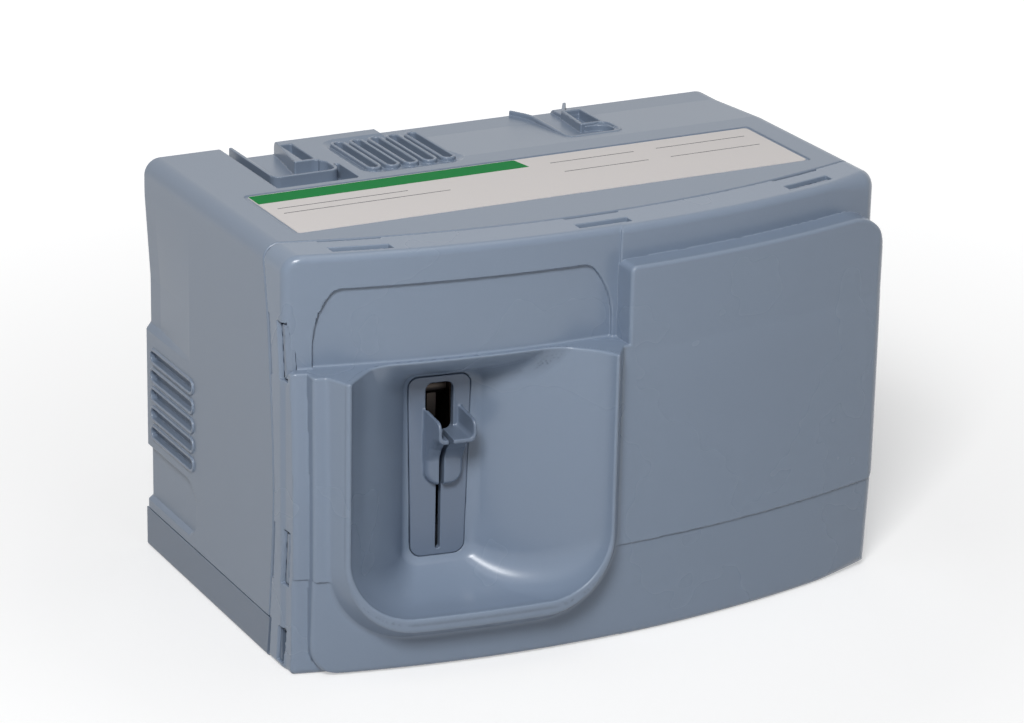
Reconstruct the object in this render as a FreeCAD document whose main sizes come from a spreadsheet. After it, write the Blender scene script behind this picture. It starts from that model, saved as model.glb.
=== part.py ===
"""Sensor and reagent cartridge of a blood gas analyzer, one solid per real piece.

Millimetres.  +Z is up, the scooped front looks towards -Y, and the origin lies on the
standing surface below the middle of the whole box.
"""
import FreeCAD, Part
import Sketcher
import math
import os

doc = FreeCAD.newDocument("reagent_cartridge")
sheet = doc.addObject("Spreadsheet::Sheet", "Sizes")

# Driving dimensions: alias, value, what it measures
DIMENSIONS = (
    ("body_width", 300, "width over the side walls"),
    ("body_height", 193, "height over the top deck"),
    ("body_depth", 200, "depth from rear wall to scoop rim"),
    ("plan_radius", 493, "plan radius of the seam at the top"),
    ("seam_depth", 157, "depth from rear wall to seam, on the centre line"),
    ("top_round", 8, "round of the long top edges"),
    ("foot_round", 2, "round of the long bottom edges"),
    ("skin", 2.5, "wall of the front cover and tray"),
    ("shell_wall", 4.5, "side and top wall of the housing"),
    ("seam_gap", 0.6, "shadow gap between housing and cover"),
    ("fit_gap", 0.3, "loose clearance between seated pieces"),
    ("seam_mid_swell", 11, "swell of the seam at its fullest height"),
    ("seam_foot_swell", 4, "swell of the seam at the foot"),
    ("swell_height", 80, "height where the front is fullest"),
    ("flange_depth", 21, "cover depth from seam to upper face"),
    ("shelf_drop", 51, "scoop shelf below the top deck"),
    ("strip_top_step", 5.5, "left strip ahead of the upper face, at the shelf"),
    ("strip_mid_step", 8.5, "left strip ahead of the upper face, fullest"),
    ("strip_foot_step", 7, "left strip ahead of the upper face, at the foot"),
    ("panel_top_step", 9.5, "raised panel ahead of the upper face, top"),
    ("panel_mid_step", 13, "raised panel ahead of the upper face, fullest"),
    ("panel_foot_step", 9.5, "raised panel ahead of the upper face, foot"),
    ("panel_drop", 15, "top of the raised panel below the top deck"),
    ("panel_margin", 7.5, "raised panel left edge, from the left side"),
    ("panel_split", 151.5, "raised panel inner edge, from the left side"),
    ("panel_round", 24, "round of the raised panel top corner"),
    ("panel_foot_round", 14, "round of the raised panel foot corner"),
    ("break_height", 47, "height of the crease across the panel"),
    ("break_step", 1.2, "step of the panel at the crease"),
    ("side_bevel", 3.5, "bevel of the vertical front corners"),
    ("inlay_margin", 12.5, "sunk upper panel left edge, from the left side"),
    ("inlay_width", 136.5, "width of the sunk upper panel"),
    ("inlay_below", 15.5, "top of the sunk upper panel below the top deck"),
    ("inlay_depth", 2, "depth of the sunk upper panel"),
    ("inlay_inset", 9, "how far the sunk panel draws in at its top"),
    ("inlay_drop", 16, "height of the drawn in upper corners"),
    ("rim_step", 22, "scoop rim ahead of the upper face"),
    ("scoop_inset", 79.1, "middle of the scoop rim, from the left side"),
    ("rim_half", 62, "half width of the scoop rim"),
    ("rim_low", 23.5, "lowest point of the scoop rim"),
    ("rim_round", 33, "round of the scoop rim corners"),
    ("rim_width", 3.4, "width of the rim beside the cavity"),
    ("rim_lip", 5.5, "height of the rim below the cavity"),
    ("flank_slope", 0.62, "outward slope of the scoop flanks"),
    ("bowl_depth", 44, "depth of the cavity behind the rim"),
    ("bowl_end_half", 23, "half width of the cavity at its back"),
    ("bowl_end_low", 38, "lowest point of the cavity at its back"),
    ("bowl_end_drop", 14.5, "top of the cavity at its back, below the shelf"),
    ("plate_shift", 7, "sampler plate centre, left of the scoop centre"),
    ("plate_top_half", 14.6, "half width of the sampler plate at its top"),
    ("plate_low_half", 12.5, "half width of the sampler plate at its foot"),
    ("plate_drop", 16.3, "top of the sampler plate below the shelf"),
    ("plate_low", 40, "foot of the sampler plate"),
    ("plate_round", 5, "corner round of the sampler plate"),
    ("plate_thick", 2.5, "thickness of the sampler plate"),
    ("window_half", 6.4, "half width of the sampler window"),
    ("window_height", 23, "height of the sampler window"),
    ("window_drop", 3.7, "head of the sampler window below the plate top"),
    ("slit_width", 2.2, "width of the needle slit"),
    ("slit_rise", 3, "foot of the needle slit above the plate foot"),
    ("guard_half", 9.5, "half width of the needle guard"),
    ("guard_reach", 17, "how far the guard stands out"),
    ("guard_drop", 13.7, "top of the guard wings below the plate top"),
    ("guard_height", 36, "height of the guard"),
    ("guard_dip", 12, "notch that steadies the needle, below the wing tops"),
    ("guard_wall", 1.8, "wall of the guard wings"),
    ("pivot_back", 13, "arm pivot behind the plate face"),
    ("pivot_drop", 8.7, "arm pivot below the plate top"),
    ("pivot_pin", 3, "diameter of the arm pivot pin"),
    ("run_fit", 0.05, "radial running fit of turning pieces"),
    ("arm_hub", 8, "diameter of the arm hub"),
    ("arm_length", 15, "length of the arm below its pivot"),
    ("needle_size", 1.3, "diameter of the sampling needle"),
    ("needle_rise", 6, "needle tip above the plate foot"),
    ("cheek_gap", 13, "clear width between the bracket cheeks"),
    ("cheek_thick", 2, "thickness of the bracket cheeks"),
    ("bracket_depth", 20, "depth of the sampler bracket"),
    ("tray_height", 20, "height of the bottom tray"),
    ("tongue_rise", 5, "rise of the tray tongue inside the housing"),
    ("tongue_thick", 2, "thickness of the tray tongue"),
    ("label_margin", 20.5, "label edge from the side walls"),
    ("label_depth", 55, "label depth"),
    ("label_thick", 0.3, "label thickness"),
    ("label_border", 1, "clear border round the label"),
    ("label_sink", 0.6, "depth of the label recess"),
    ("label_rear", 71, "label recess behind the rear top edge"),
    ("snap_width", 26, "width of the snap windows"),
    ("snap_size", 5.5, "window size along the cover depth"),
    ("snap_offset", 10.5, "window distance from the seam"),
    ("side_snap_size", 4.4, "side window size along the cover depth"),
    ("side_snap_offset", 8.2, "side window distance from the seam"),
    ("snap_inset", 38, "outer top snaps, from the side walls"),
    ("snap_thick", 2.2, "thickness of the snap tabs"),
    ("snap_hook", 1.6, "rise of the snap hooks"),
    ("snap_upper", 43, "upper side snaps below the top deck"),
    ("snap_middle", 54.5, "height of the middle side snaps"),
    ("snap_lower", 11, "height of the tray snaps"),
    ("grip_count", 5, "grip rings in each group"),
    ("grip_pitch", 9.5, "pitch of the grip rings"),
    ("grip_width", 7, "width of a grip ring"),
    ("grip_length", 43.5, "length of a grip ring"),
    ("grip_rim", 1.8, "width of the raised line of a grip ring"),
    ("grip_sink", 2, "depth inside the top grip rings"),
    ("grip_start", 15, "top grip rings behind the rear edge"),
    ("grip_inset", 91, "first top grip ring, from the left side"),
    ("deck_drop", 2.3, "fall of the rear deck"),
    ("deck_reach", 58, "length of the falling rear deck"),
    ("deck_inset", 120, "falling deck edge, from the left side"),
    ("guide_pitch", 151.5, "distance between the two guide channels"),
    ("guide_inset", 44, "left guide rail, from the left side"),
    ("guide_width", 17, "clear width of a guide channel"),
    ("guide_depth", 7, "depth of the left guide channel"),
    ("guide_length", 50, "length of a guide channel"),
    ("guide_rail", 1.5, "thickness of the guide rails"),
    ("guide_turn", 14.5, "width of the sideways turn of a channel"),
    ("guide_shallow", 4.5, "depth of the right guide channel"),
    ("moat_front", 16, "sunk floor ahead of the left rail"),
    ("moat_side", 5, "sunk floor beside the left rail"),
    ("island_width", 11.5, "width of the island beside a channel"),
    ("relief_depth", 2, "depth of the side relief"),
    ("relief_length", 56, "length of the side relief"),
    ("relief_low", 23, "foot of the side relief"),
    ("relief_top", 131, "top of the side relief"),
    ("side_plate_low", 52, "foot of the side grip plate"),
    ("side_plate_top", 112, "top of the side grip plate"),
    ("side_plate_length", 50, "length of the side grip plate"),
    ("side_plate_sink", 1, "side grip plate behind the side wall"),
    ("side_grip_low", 61.5, "lowest side grip ring"),
    ("chassis_back", 70, "chassis plate ahead of the rear wall"),
    ("chassis_thick", 3, "thickness of the chassis plate"),
    ("divider_inset", 154, "divider wall, from the left side"),
    ("divider_thick", 2.5, "thickness of the divider wall"),
    ("pump_inset", 48, "pump axis, from the left side"),
    ("pump_height", 64, "height of the pump axis"),
    ("race_half", 37, "half width of the pump race"),
    ("race_radius", 28.6, "bore of the pump race"),
    ("race_depth", 20, "depth of the pump race"),
    ("tube_size", 4, "pump tube diameter"),
    ("roller_radius", 6, "radius of a pump roller"),
    ("roller_orbit", 18, "radius of the roller circle"),
    ("roller_length", 10.5, "length of a pump roller"),
    ("roller_count", 3, "pump rollers"),
    ("roller_pin", 3, "diameter of the roller pins"),
    ("rotor_radius", 22.5, "radius of the rotor discs"),
    ("rotor_disc", 2.5, "thickness of the rotor discs"),
    ("rotor_hub", 12, "diameter of the rotor hub"),
    ("shaft_size", 8, "diameter of the drive shafts"),
    ("pump_dog", 26, "diameter of the pump drive dog"),
    ("valve_dog", 22, "diameter of the valve drive dog"),
    ("dog_length", 11, "length of the drive dogs"),
    ("dog_slot", 6, "width of the slots in the drive dogs"),
    ("dog_slot_depth", 5, "depth of the slots in the drive dogs"),
    ("valve_inset", 116, "valve axis, from the left side"),
    ("valve_radius", 20, "radius of the valve body"),
    ("valve_bore", 16, "radius of the valve rotor"),
    ("valve_depth", 16, "depth of the valve body"),
    ("valve_floor", 4, "floor of the valve body"),
    ("port_size", 3, "diameter of the valve ports"),
    ("port_reach", 6, "how far the valve ports stand out"),
    ("port_count", 6, "valve ports"),
    ("card_width", 78, "sensor card width"),
    ("card_height", 44, "sensor card height"),
    ("card_thick", 6, "sensor card thickness"),
    ("card_inset", 98, "sensor card middle, from the left side"),
    ("card_drop", 43, "top of the sensor card below the top deck"),
    ("card_lid", 2, "thickness of the sensor card lid"),
    ("heater_thick", 3, "thickness of the heater plate"),
    ("optic_width", 22, "optical cell width"),
    ("optic_inset", 32, "optical cell middle, from the left side"),
    ("optic_depth", 16, "optical cell depth"),
    ("optic_glass", 10, "diameter of the optical cell glass"),
    ("board_width", 62, "contact board width"),
    ("board_height", 26, "contact board height"),
    ("board_thick", 1.6, "contact board thickness"),
    ("board_set", 3.5, "contact board set in from the rear wall"),
    ("board_drop", 35, "top of the contact board below the top deck"),
    ("pad_count", 10, "contact pads"),
    ("pad_width", 2.6, "width of a contact pad"),
    ("pad_thick", 0.4, "thickness of a contact pad"),
    ("rack_floor", 2.5, "floor of the pouch rack"),
    ("rack_wall", 1.6, "partition of the pouch rack"),
    ("rack_rise", 60, "height of the rack partitions"),
    ("rack_length", 130, "length of the pouch rack"),
    ("pouch_count", 4, "reagent pouches"),
    ("pouch_head", 60, "room above the pouches"),
    ("pouch_margin", 4, "clearance of a pouch in its bay"),
    ("rack_margin", 9, "room between the rack and the side wall"),
    ("spout_size", 9, "diameter of the pouch spouts"),
    ("spout_rise", 10, "height of the pouch spouts"),
    ("manifold_size", 11, "height and depth of the manifold"),
)
for row, (alias, value, note) in enumerate(DIMENSIONS, start=1):
    sheet.set("A%d" % row, alias)
    sheet.set("B%d" % row, str(value))
    sheet.set("C%d" % row, note)
    sheet.setAlias("B%d" % row, alias)
doc.recompute()


def size(alias):
    """Value of a driving dimension."""
    return float(sheet.get(alias))


Vector = FreeCAD.Vector
UP = Vector(0, 0, 1)
RIGHT = Vector(1, 0, 0)
BACK = Vector(0, 1, 0)

half_width = size("body_width") / 2
height = size("body_height")
rear = size("body_depth") / 2
centre_back = rear + size("plan_radius") - size("seam_depth")
plan_centre = Vector(0, centre_back, 0)
face_radius = size("plan_radius") + size("flange_depth")
rim_radius = face_radius + size("rim_step")
skin = size("skin")
shell_wall = size("shell_wall")
gap = size("fit_gap")
core_radius = size("plan_radius") - size("seam_depth") - skin
shelf = height - size("shelf_drop")
plate_top = shelf - size("plate_drop")
plate_low = size("plate_low")
pivot_height = plate_top - size("pivot_drop")
guard_top = plate_top - size("guard_drop")
window_top = plate_top - size("window_drop")
needle_tip = plate_low + size("needle_rise")
label_half = half_width - size("label_margin")
pump_x = size("pump_inset") - half_width
valve_x = size("valve_inset") - half_width
card_x = size("card_inset") - half_width
optic_x = size("optic_inset") - half_width
card_low = height - size("card_drop") - size("card_height")
board_low = height - size("board_drop") - size("board_height")
board_back = rear - skin - size("board_set")
snap_levels = (height - size("snap_upper"), size("snap_middle"), size("snap_lower"))
snap_reach = half_width - size("snap_inset")
scoop_turn = math.degrees(math.asin((half_width - size("scoop_inset")) / rim_radius))
overrun = size("body_depth")
pieces = []


# Plain shapes

def block(x_low, x_high, y_low, y_high, z_low, z_high):
    """Box between two corners."""
    corner = Vector(x_low, y_low, z_low)
    return Part.makeBox(x_high - x_low, y_high - y_low, z_high - z_low, corner)


def rod(start, end, diameter):
    """Round bar between two points."""
    way = end - start
    return Part.makeCylinder(diameter / 2, way.Length, start, way)


def closed(points):
    """Straight edged outline through the points."""
    return Part.Wire(Part.makePolygon(list(points) + [points[0]]))


def prism(points, way):
    """Straight edged outline pushed along a vector."""
    return Part.Face(closed(points)).extrude(way)


def rounded(points, rounds):
    """Outline with an arc of its own radius at each corner, in the plane of its points."""
    edges = []
    starts = []
    ends = []
    count = len(points)
    for place, corner in enumerate(points):
        radius = rounds[place]
        before = (points[place - 1] - corner).normalize()
        after = (points[(place + 1) % count] - corner).normalize()
        half_angle = before.getAngle(after) / 2
        run = radius / math.tan(half_angle)
        starts.append(corner + before * run)
        ends.append(corner + after * run)
        middle = (before + after).normalize()
        reach = radius / math.sin(half_angle) - radius
        if radius > 0:
            edges.append(Part.Arc(starts[-1], corner + middle * reach, ends[-1]).toShape())
        else:
            edges.append(None)
    outline = []
    for place in range(count):
        if edges[place] is not None:
            outline.append(edges[place])
        following = starts[(place + 1) % count]
        if (following - ends[place]).Length > gap * gap * gap:
            outline.append(Part.makeLine(ends[place], following))
    return Part.Wire(outline)


def obround(middle, along, across, way, length, width):
    """Bar with half round ends, along one direction and pushed along another."""
    run = along * ((length - width) / 2)
    side = across * (width / 2)
    tip = along * (width / 2)
    corners = (middle - run - side, middle + run - side, middle + run + side, middle - run + side)
    edges = (
        Part.makeLine(corners[0], corners[1]),
        Part.Arc(corners[1], middle + run + tip, corners[2]).toShape(),
        Part.makeLine(corners[2], corners[3]),
        Part.Arc(corners[3], middle - run - tip, corners[0]).toShape(),
    )
    return Part.Face(Part.Wire(edges)).extrude(way)


def joined(shapes):
    """Union of a list of shapes without seam lines."""
    first, *others = shapes
    return first.fuse(others).removeSplitter()


# Curved skins of the front, all turned about the plan centre

spread = math.degrees(math.atan(half_width / core_radius)) * 1.1


def sector(arcs):
    """Solid inside a skin given as arcs of (height, radius) triples from low to high."""
    edges = []
    last = None
    for low, middle, high in arcs:
        points = [Vector(0, centre_back - radius, level) for level, radius in (low, middle, high)]
        if last is not None and (points[0] - last).Length > 0:
            edges.append(Part.makeLine(last, points[0]))
        if abs((points[1] - points[0]).cross(points[2] - points[0]).Length) < gap:
            edges.append(Part.makeLine(points[0], points[2]))
        else:
            edges.append(Part.Arc(*points).toShape())
        last = points[-1]
    foot = edges[0].Vertexes[0].Point
    inner_top = Vector(0, centre_back - core_radius, last.z)
    inner_foot = Vector(0, centre_back - core_radius, foot.z)
    edges.append(Part.makeLine(last, inner_top))
    edges.append(Part.makeLine(inner_top, inner_foot))
    edges.append(Part.makeLine(inner_foot, foot))
    face = Part.Face(Part.Wire(edges))
    face.rotate(plan_centre, UP, -spread)
    return face.revolve(plan_centre, UP, spread * 2)


def seam_sector(offset):
    """Everything behind the seam, moved forward by an offset."""
    radius = size("plan_radius") + offset
    low = (0, radius + size("seam_foot_swell"))
    middle = (size("swell_height"), radius + size("seam_mid_swell"))
    return sector([(low, middle, (height, radius))])


def seam_front(across):
    """Y of the seam on the top edge at a distance from the centre line."""
    return centre_back - math.sqrt(size("plan_radius") ** 2 - across ** 2)


def seam_side(level):
    """Y of the seam on a side wall at a height."""
    fullest = size("swell_height")
    fall = size("seam_mid_swell") - (0 if level > fullest else size("seam_foot_swell"))
    reach = (height - fullest) if level > fullest else fullest
    radius = size("plan_radius") + size("seam_mid_swell") - fall * ((level - fullest) / reach) ** 2
    return centre_back - math.sqrt(radius ** 2 - half_width ** 2)


def envelope(inset):
    """Rounded box section of the whole unit, drawn in by an inset."""
    side = half_width - inset
    top = height - inset
    top_round = max(size("top_round") - inset, gap)
    foot_round = max(size("foot_round") - inset, gap)
    start = rear + overrun
    corners = (
        Vector(-side, start, inset),
        Vector(side, start, inset),
        Vector(side, start, top),
        Vector(-side, start, top),
    )
    outline = rounded(corners, (foot_round, foot_round, top_round, top_round))
    return Part.Face(outline).extrude(-BACK * (overrun + overrun + overrun))


def front_layer(arcs, low, high, inset):
    """Layer of the cover front with rounded vertical corners."""
    side = half_width - inset
    layer = sector(arcs).common(block(-side, side, -rear - overrun, rear, low, high))
    if inset > 0:
        return layer
    upright = []
    for edge in layer.Edges:
        ends = [vertex.Point for vertex in edge.Vertexes]
        if len(ends) < 2:
            continue
        tall = abs(ends[0].z - ends[1].z) > abs(ends[0].x - ends[1].x) + gap
        outer = min(abs(end.x) for end in ends) > half_width - gap
        ahead = max(end.y for end in ends) < 0
        if tall and outer and ahead:
            upright.append(edge)
    return layer.makeChamfer(size("side_bevel"), upright)


def scoop_frame(shape):
    """Turns a shape from scoop coordinates, where -Y is the scoop axis, into the part."""
    shape.translate(plan_centre)
    shape.rotate(plan_centre, UP, -scoop_turn)
    return shape


def scoop_outline(radius, half, low, top, low_round, top_round):
    """Outline across the scoop at one distance from the plan centre."""
    corners = (
        Vector(-half, -radius, low),
        Vector(half, -radius, low),
        Vector(half, -radius, top),
        Vector(-half, -radius, top),
    )
    return rounded(corners, (low_round, low_round, top_round, top_round))


def boss(inset):
    """Scoop boss with sloping flanks, cut to the rim radius."""
    outlines = []
    for radius in (face_radius - skin, rim_radius + skin):
        grow = (rim_radius - inset - radius) * size("flank_slope") - inset
        half = size("rim_half") + grow
        low = size("rim_low") - grow
        corner = size("rim_round") + grow
        outlines.append(scoop_outline(radius, half, low, height, corner, 0))
    solid = scoop_frame(Part.makeLoft(outlines, True, True))
    radius = rim_radius - inset
    level = shelf - inset
    return solid.common(sector([((0, radius), (level / 2, radius), (level, radius))]))


# Cavity stations: share of the depth, of the width lost, of the foot and of the top change
CAVITY_SHARES = (
    (-0.10, -0.02, 0.00, 0.00),
    (0.14, 0.10, -0.18, 0.00),
    (0.36, 0.30, -0.25, 0.34),
    (0.62, 0.56, -0.05, 0.80),
    (0.86, 0.84, 0.50, 0.95),
    (1.00, 1.00, 1.00, 1.00),
)


def cavity(grow):
    """Hollow of the scoop, from in front of the rim back to the sampler plate."""
    outlines = []
    rim_inner = size("rim_half") - size("rim_width")
    low_rim = size("rim_low") + size("rim_lip")
    top_rim = shelf + size("bowl_depth") * 0.7
    depth = size("bowl_depth") + grow
    for along, narrow, foot, head in CAVITY_SHARES:
        radius = rim_radius - depth * along
        half = rim_inner - (rim_inner - size("bowl_end_half")) * narrow + grow
        low = low_rim + (size("bowl_end_low") - low_rim) * foot - grow
        top = top_rim - (top_rim - (shelf - size("bowl_end_drop"))) * head + grow
        low_round = size("rim_round") * (0.86 - 0.4 * narrow)
        top_round = size("rim_round") * (0.86 - 0.4 * narrow)
        outlines.append(scoop_outline(radius, half, low, top, low_round, top_round))
    return scoop_frame(Part.makeLoft(outlines, True, False))


def plate_outline(grow, radius):
    """Tapered outline of the sampler plate at one distance from the plan centre."""
    middle = -size("plate_shift")
    top_half = size("plate_top_half") + grow
    low_half = size("plate_low_half") + grow
    corners = (
        Vector(middle - low_half, -radius, plate_low - grow),
        Vector(middle + low_half, -radius, plate_low - grow),
        Vector(middle + top_half, -radius, plate_top + grow),
        Vector(middle - top_half, -radius, plate_top + grow),
    )
    corner = size("plate_round") + grow
    return rounded(corners, (corner, corner, corner, corner))


bowl_end = rim_radius - size("bowl_depth")


# Front cover

def cover_form(inset):
    """Outer form of the cover, or its inner form when drawn in by the wall."""
    fullest = size("swell_height")
    upper = [(0, face_radius), (shelf, face_radius), (height, face_radius)]
    strip = [(0, face_radius + size("strip_foot_step")),
             (fullest, face_radius + size("strip_mid_step")),
             (shelf, face_radius + size("strip_top_step"))]
    panel_top = (height - size("panel_drop"))
    crease = size("break_height")
    high_middle = face_radius + size("panel_mid_step")
    foot_radius = face_radius + size("panel_foot_step")
    crease_radius = high_middle - size("break_step")
    lower = [(0, foot_radius), (crease / 2, (foot_radius + crease_radius) / 2), (crease, crease_radius)]
    higher = [(crease, high_middle),
              ((crease + panel_top) / 2, high_middle - size("break_step") / 2),
              (panel_top, face_radius + size("panel_top_step"))]
    drawn = []
    for stations in (upper, strip, lower, higher):
        drawn.append(tuple((level, radius - inset) for level, radius in stations))
    upper, strip, lower, higher = drawn
    layers = [front_layer([upper], 0, height, inset), front_layer([strip], 0, shelf - inset, inset)]
    right = half_width - inset
    inner = size("panel_split") - half_width + inset
    outline = rounded(
        (Vector(inner, -rear - overrun, 0), Vector(right, -rear - overrun, 0),
         Vector(right, -rear - overrun, panel_top - inset), Vector(inner, -rear - overrun, panel_top - inset)),
        (0, 0, size("panel_round"), 0))
    wide = Part.Face(outline).extrude(BACK * (overrun + rear))
    left = size("panel_margin") - half_width + inset
    foot = size("panel_foot_round")
    outline = rounded(
        (Vector(left, -rear - overrun, 0), Vector(right - foot, -rear - overrun, 0),
         Vector(right - foot, -rear - overrun, shelf - inset), Vector(left, -rear - overrun, shelf - inset)),
        (foot, 0, 0, 0))
    low = Part.Face(outline).extrude(BACK * (overrun + rear))
    panel = front_layer([lower, higher], 0, panel_top, inset).common(wide.fuse(low))
    layers.append(panel)
    layers.append(boss(inset))
    form = layers[0].fuse(layers[1:])
    return form.common(envelope(inset))


def snap_cuts():
    """Windows in the cover flange through which the snap hooks show."""
    cuts = []
    half = size("snap_width") / 2
    near = size("snap_offset")
    far = near + size("snap_size")
    for step in (-1, 0, 1):
        middle = step * snap_reach
        seam = seam_front(middle)
        cuts.append(block(middle - half, middle + half, seam - far, seam - near, height - skin - gap, height + skin))
    near = size("side_snap_offset")
    far = near + size("side_snap_size")
    for level in snap_levels:
        tall = min(half, level - skin - gap)
        seam = seam_side(level)
        for side in (-1, 1):
            edges = sorted((side * (half_width + skin), side * (half_width - skin - gap)))
            cuts.append(block(*edges, seam - far, seam - near, level - tall, level + tall))
    return cuts


def make_cover():
    """Front cover: curved skin, raised panel, scoop and snap windows."""
    outer = cover_form(0)
    shell = outer.cut(cover_form(skin)).cut(seam_sector(size("seam_gap")))
    bowl = cavity(skin).common(outer)
    shell = shell.fuse(bowl).cut(cavity(0))
    inlay_radius = face_radius - size("inlay_depth")
    inlay_face = sector([((0, inlay_radius), (shelf, inlay_radius), (height, inlay_radius))])
    left = size("inlay_margin") - half_width
    right = left + size("inlay_width")
    inset = size("inlay_inset")
    low = shelf
    top = height - size("inlay_below")
    start = -rear - overrun
    outline = closed((Vector(left, start, low), Vector(right, start, low),
                      Vector(right, start, top - size("inlay_drop")), Vector(right - inset, start, top),
                      Vector(left + inset, start, top), Vector(left, start, top - size("inlay_drop"))))
    inlay = Part.Face(outline).extrude(BACK * (overrun + rear)).cut(inlay_face)
    shell = shell.cut(inlay)
    hole = Part.Face(plate_outline(gap / 2, bowl_end + skin)).extrude(BACK * (skin * 3))
    shell = shell.cut(scoop_frame(hole))
    for cut in snap_cuts():
        shell = shell.cut(cut)
    return shell.removeSplitter()


# Rear housing

def guide(left, floor, top, with_moat):
    """Cuts and additions of one J shaped guide channel in the deck."""
    wall = size("guide_rail")
    front = rear - size("guide_length")
    island = left + size("guide_width")
    far = island + size("island_width")
    turn = front + size("guide_turn")
    side = size("moat_side") if with_moat else 0
    ahead = size("moat_front") if with_moat else 0
    cuts = [block(left - wall - side, far + wall, front - wall - ahead, rear + skin, floor, top + skin)]
    adds = [
        block(left - wall, left, front - wall, rear - size("moat_side"), floor - skin, top),
        block(left - wall, far + wall, front - wall, front, floor - skin, top),
        block(far, far + wall, front - wall, turn + wall, floor - skin, top),
        block(island, far + wall, turn, rear, floor - skin, top),
    ]
    pocket = block(island + wall, far, turn + wall, rear - size("moat_side"), floor + wall, top + skin)
    return cuts, adds, [pocket]


def tub(left, floor, with_moat):
    """Thick patch below a guide channel that keeps the deck closed."""
    wall = size("guide_rail")
    side = size("moat_side") if with_moat else 0
    ahead = size("moat_front") if with_moat else 0
    front = rear - size("guide_length") - wall - ahead
    far = left + size("guide_width") + size("island_width") + wall
    return block(left - wall - side - skin, far + skin, front - skin, rear, floor - skin, height - skin)


def grip_ring(middle, along, across, way, sink):
    """Raised obround line, as an outer bar and the hollow inside it."""
    length = size("grip_length")
    width = size("grip_width")
    rim = size("grip_rim")
    outer = obround(middle, along, across, way, length, width)
    inner = obround(middle + way - way.normalize() * sink, along, across, way * (sink + skin),
                    length - rim * 2, width - rim * 2)
    return outer, inner


def snap_tab(across, level, side):
    """Snap tab of a top edge (side 0) or a side wall (side -1 or 1)."""
    reach = size("snap_offset") + size("snap_size") - gap
    hook = size("snap_size") - gap * 2
    half = size("snap_width") / 2 - gap
    thick = size("snap_thick")
    rise = size("snap_hook")
    if side == 0:
        seam = seam_front(across)
        under = height - skin - gap
        tab = block(across - half, across + half, seam - reach, seam + skin, under - thick, under)
        nose = block(across - half, across + half, seam - reach, seam - reach + hook, under - thick, under + rise)
        return [tab, nose]
    reach = size("side_snap_offset") + size("side_snap_size") - gap
    hook = size("side_snap_size") - gap * 2
    seam = seam_side(level)
    tall = min(half, level - skin - gap * 2)
    under = side * (half_width - skin - gap)
    edges = sorted((under - side * thick, under))
    tips = sorted((under - side * thick, under + side * rise))
    tab = block(*edges, seam - reach, seam + skin, level - tall, level + tall)
    nose = block(*tips, seam - reach, seam - reach + hook, level - tall, level + tall)
    return [tab, nose]


def side_details(side):
    """Relief, grip plate and grip rings of one side wall: cuts and additions."""
    outer = side * half_width
    relief = size("relief_depth")
    x_edges = sorted((outer - side * relief, outer + side * skin))
    start = rear - size("relief_length")
    cut = block(*x_edges, start, rear + skin, size("relief_low"), size("relief_top"))
    plate_face = outer - side * size("side_plate_sink")
    x_edges = sorted((outer - side * (relief + gap), plate_face))
    plate_start = rear - size("side_plate_length")
    adds = [block(*x_edges, plate_start, rear, size("side_plate_low"), size("side_plate_top"))]
    hollows = []
    way = RIGHT * (side * (relief + gap))
    for step in range(int(size("grip_count"))):
        level = size("side_grip_low") + step * size("grip_pitch")
        middle = Vector(outer, rear - size("grip_length") / 2 - skin, level) - way
        ring, hollow = grip_ring(middle, BACK, UP, way, size("side_plate_sink"))
        adds.append(ring)
        hollows.append(hollow)
    return cut, adds, hollows


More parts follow.
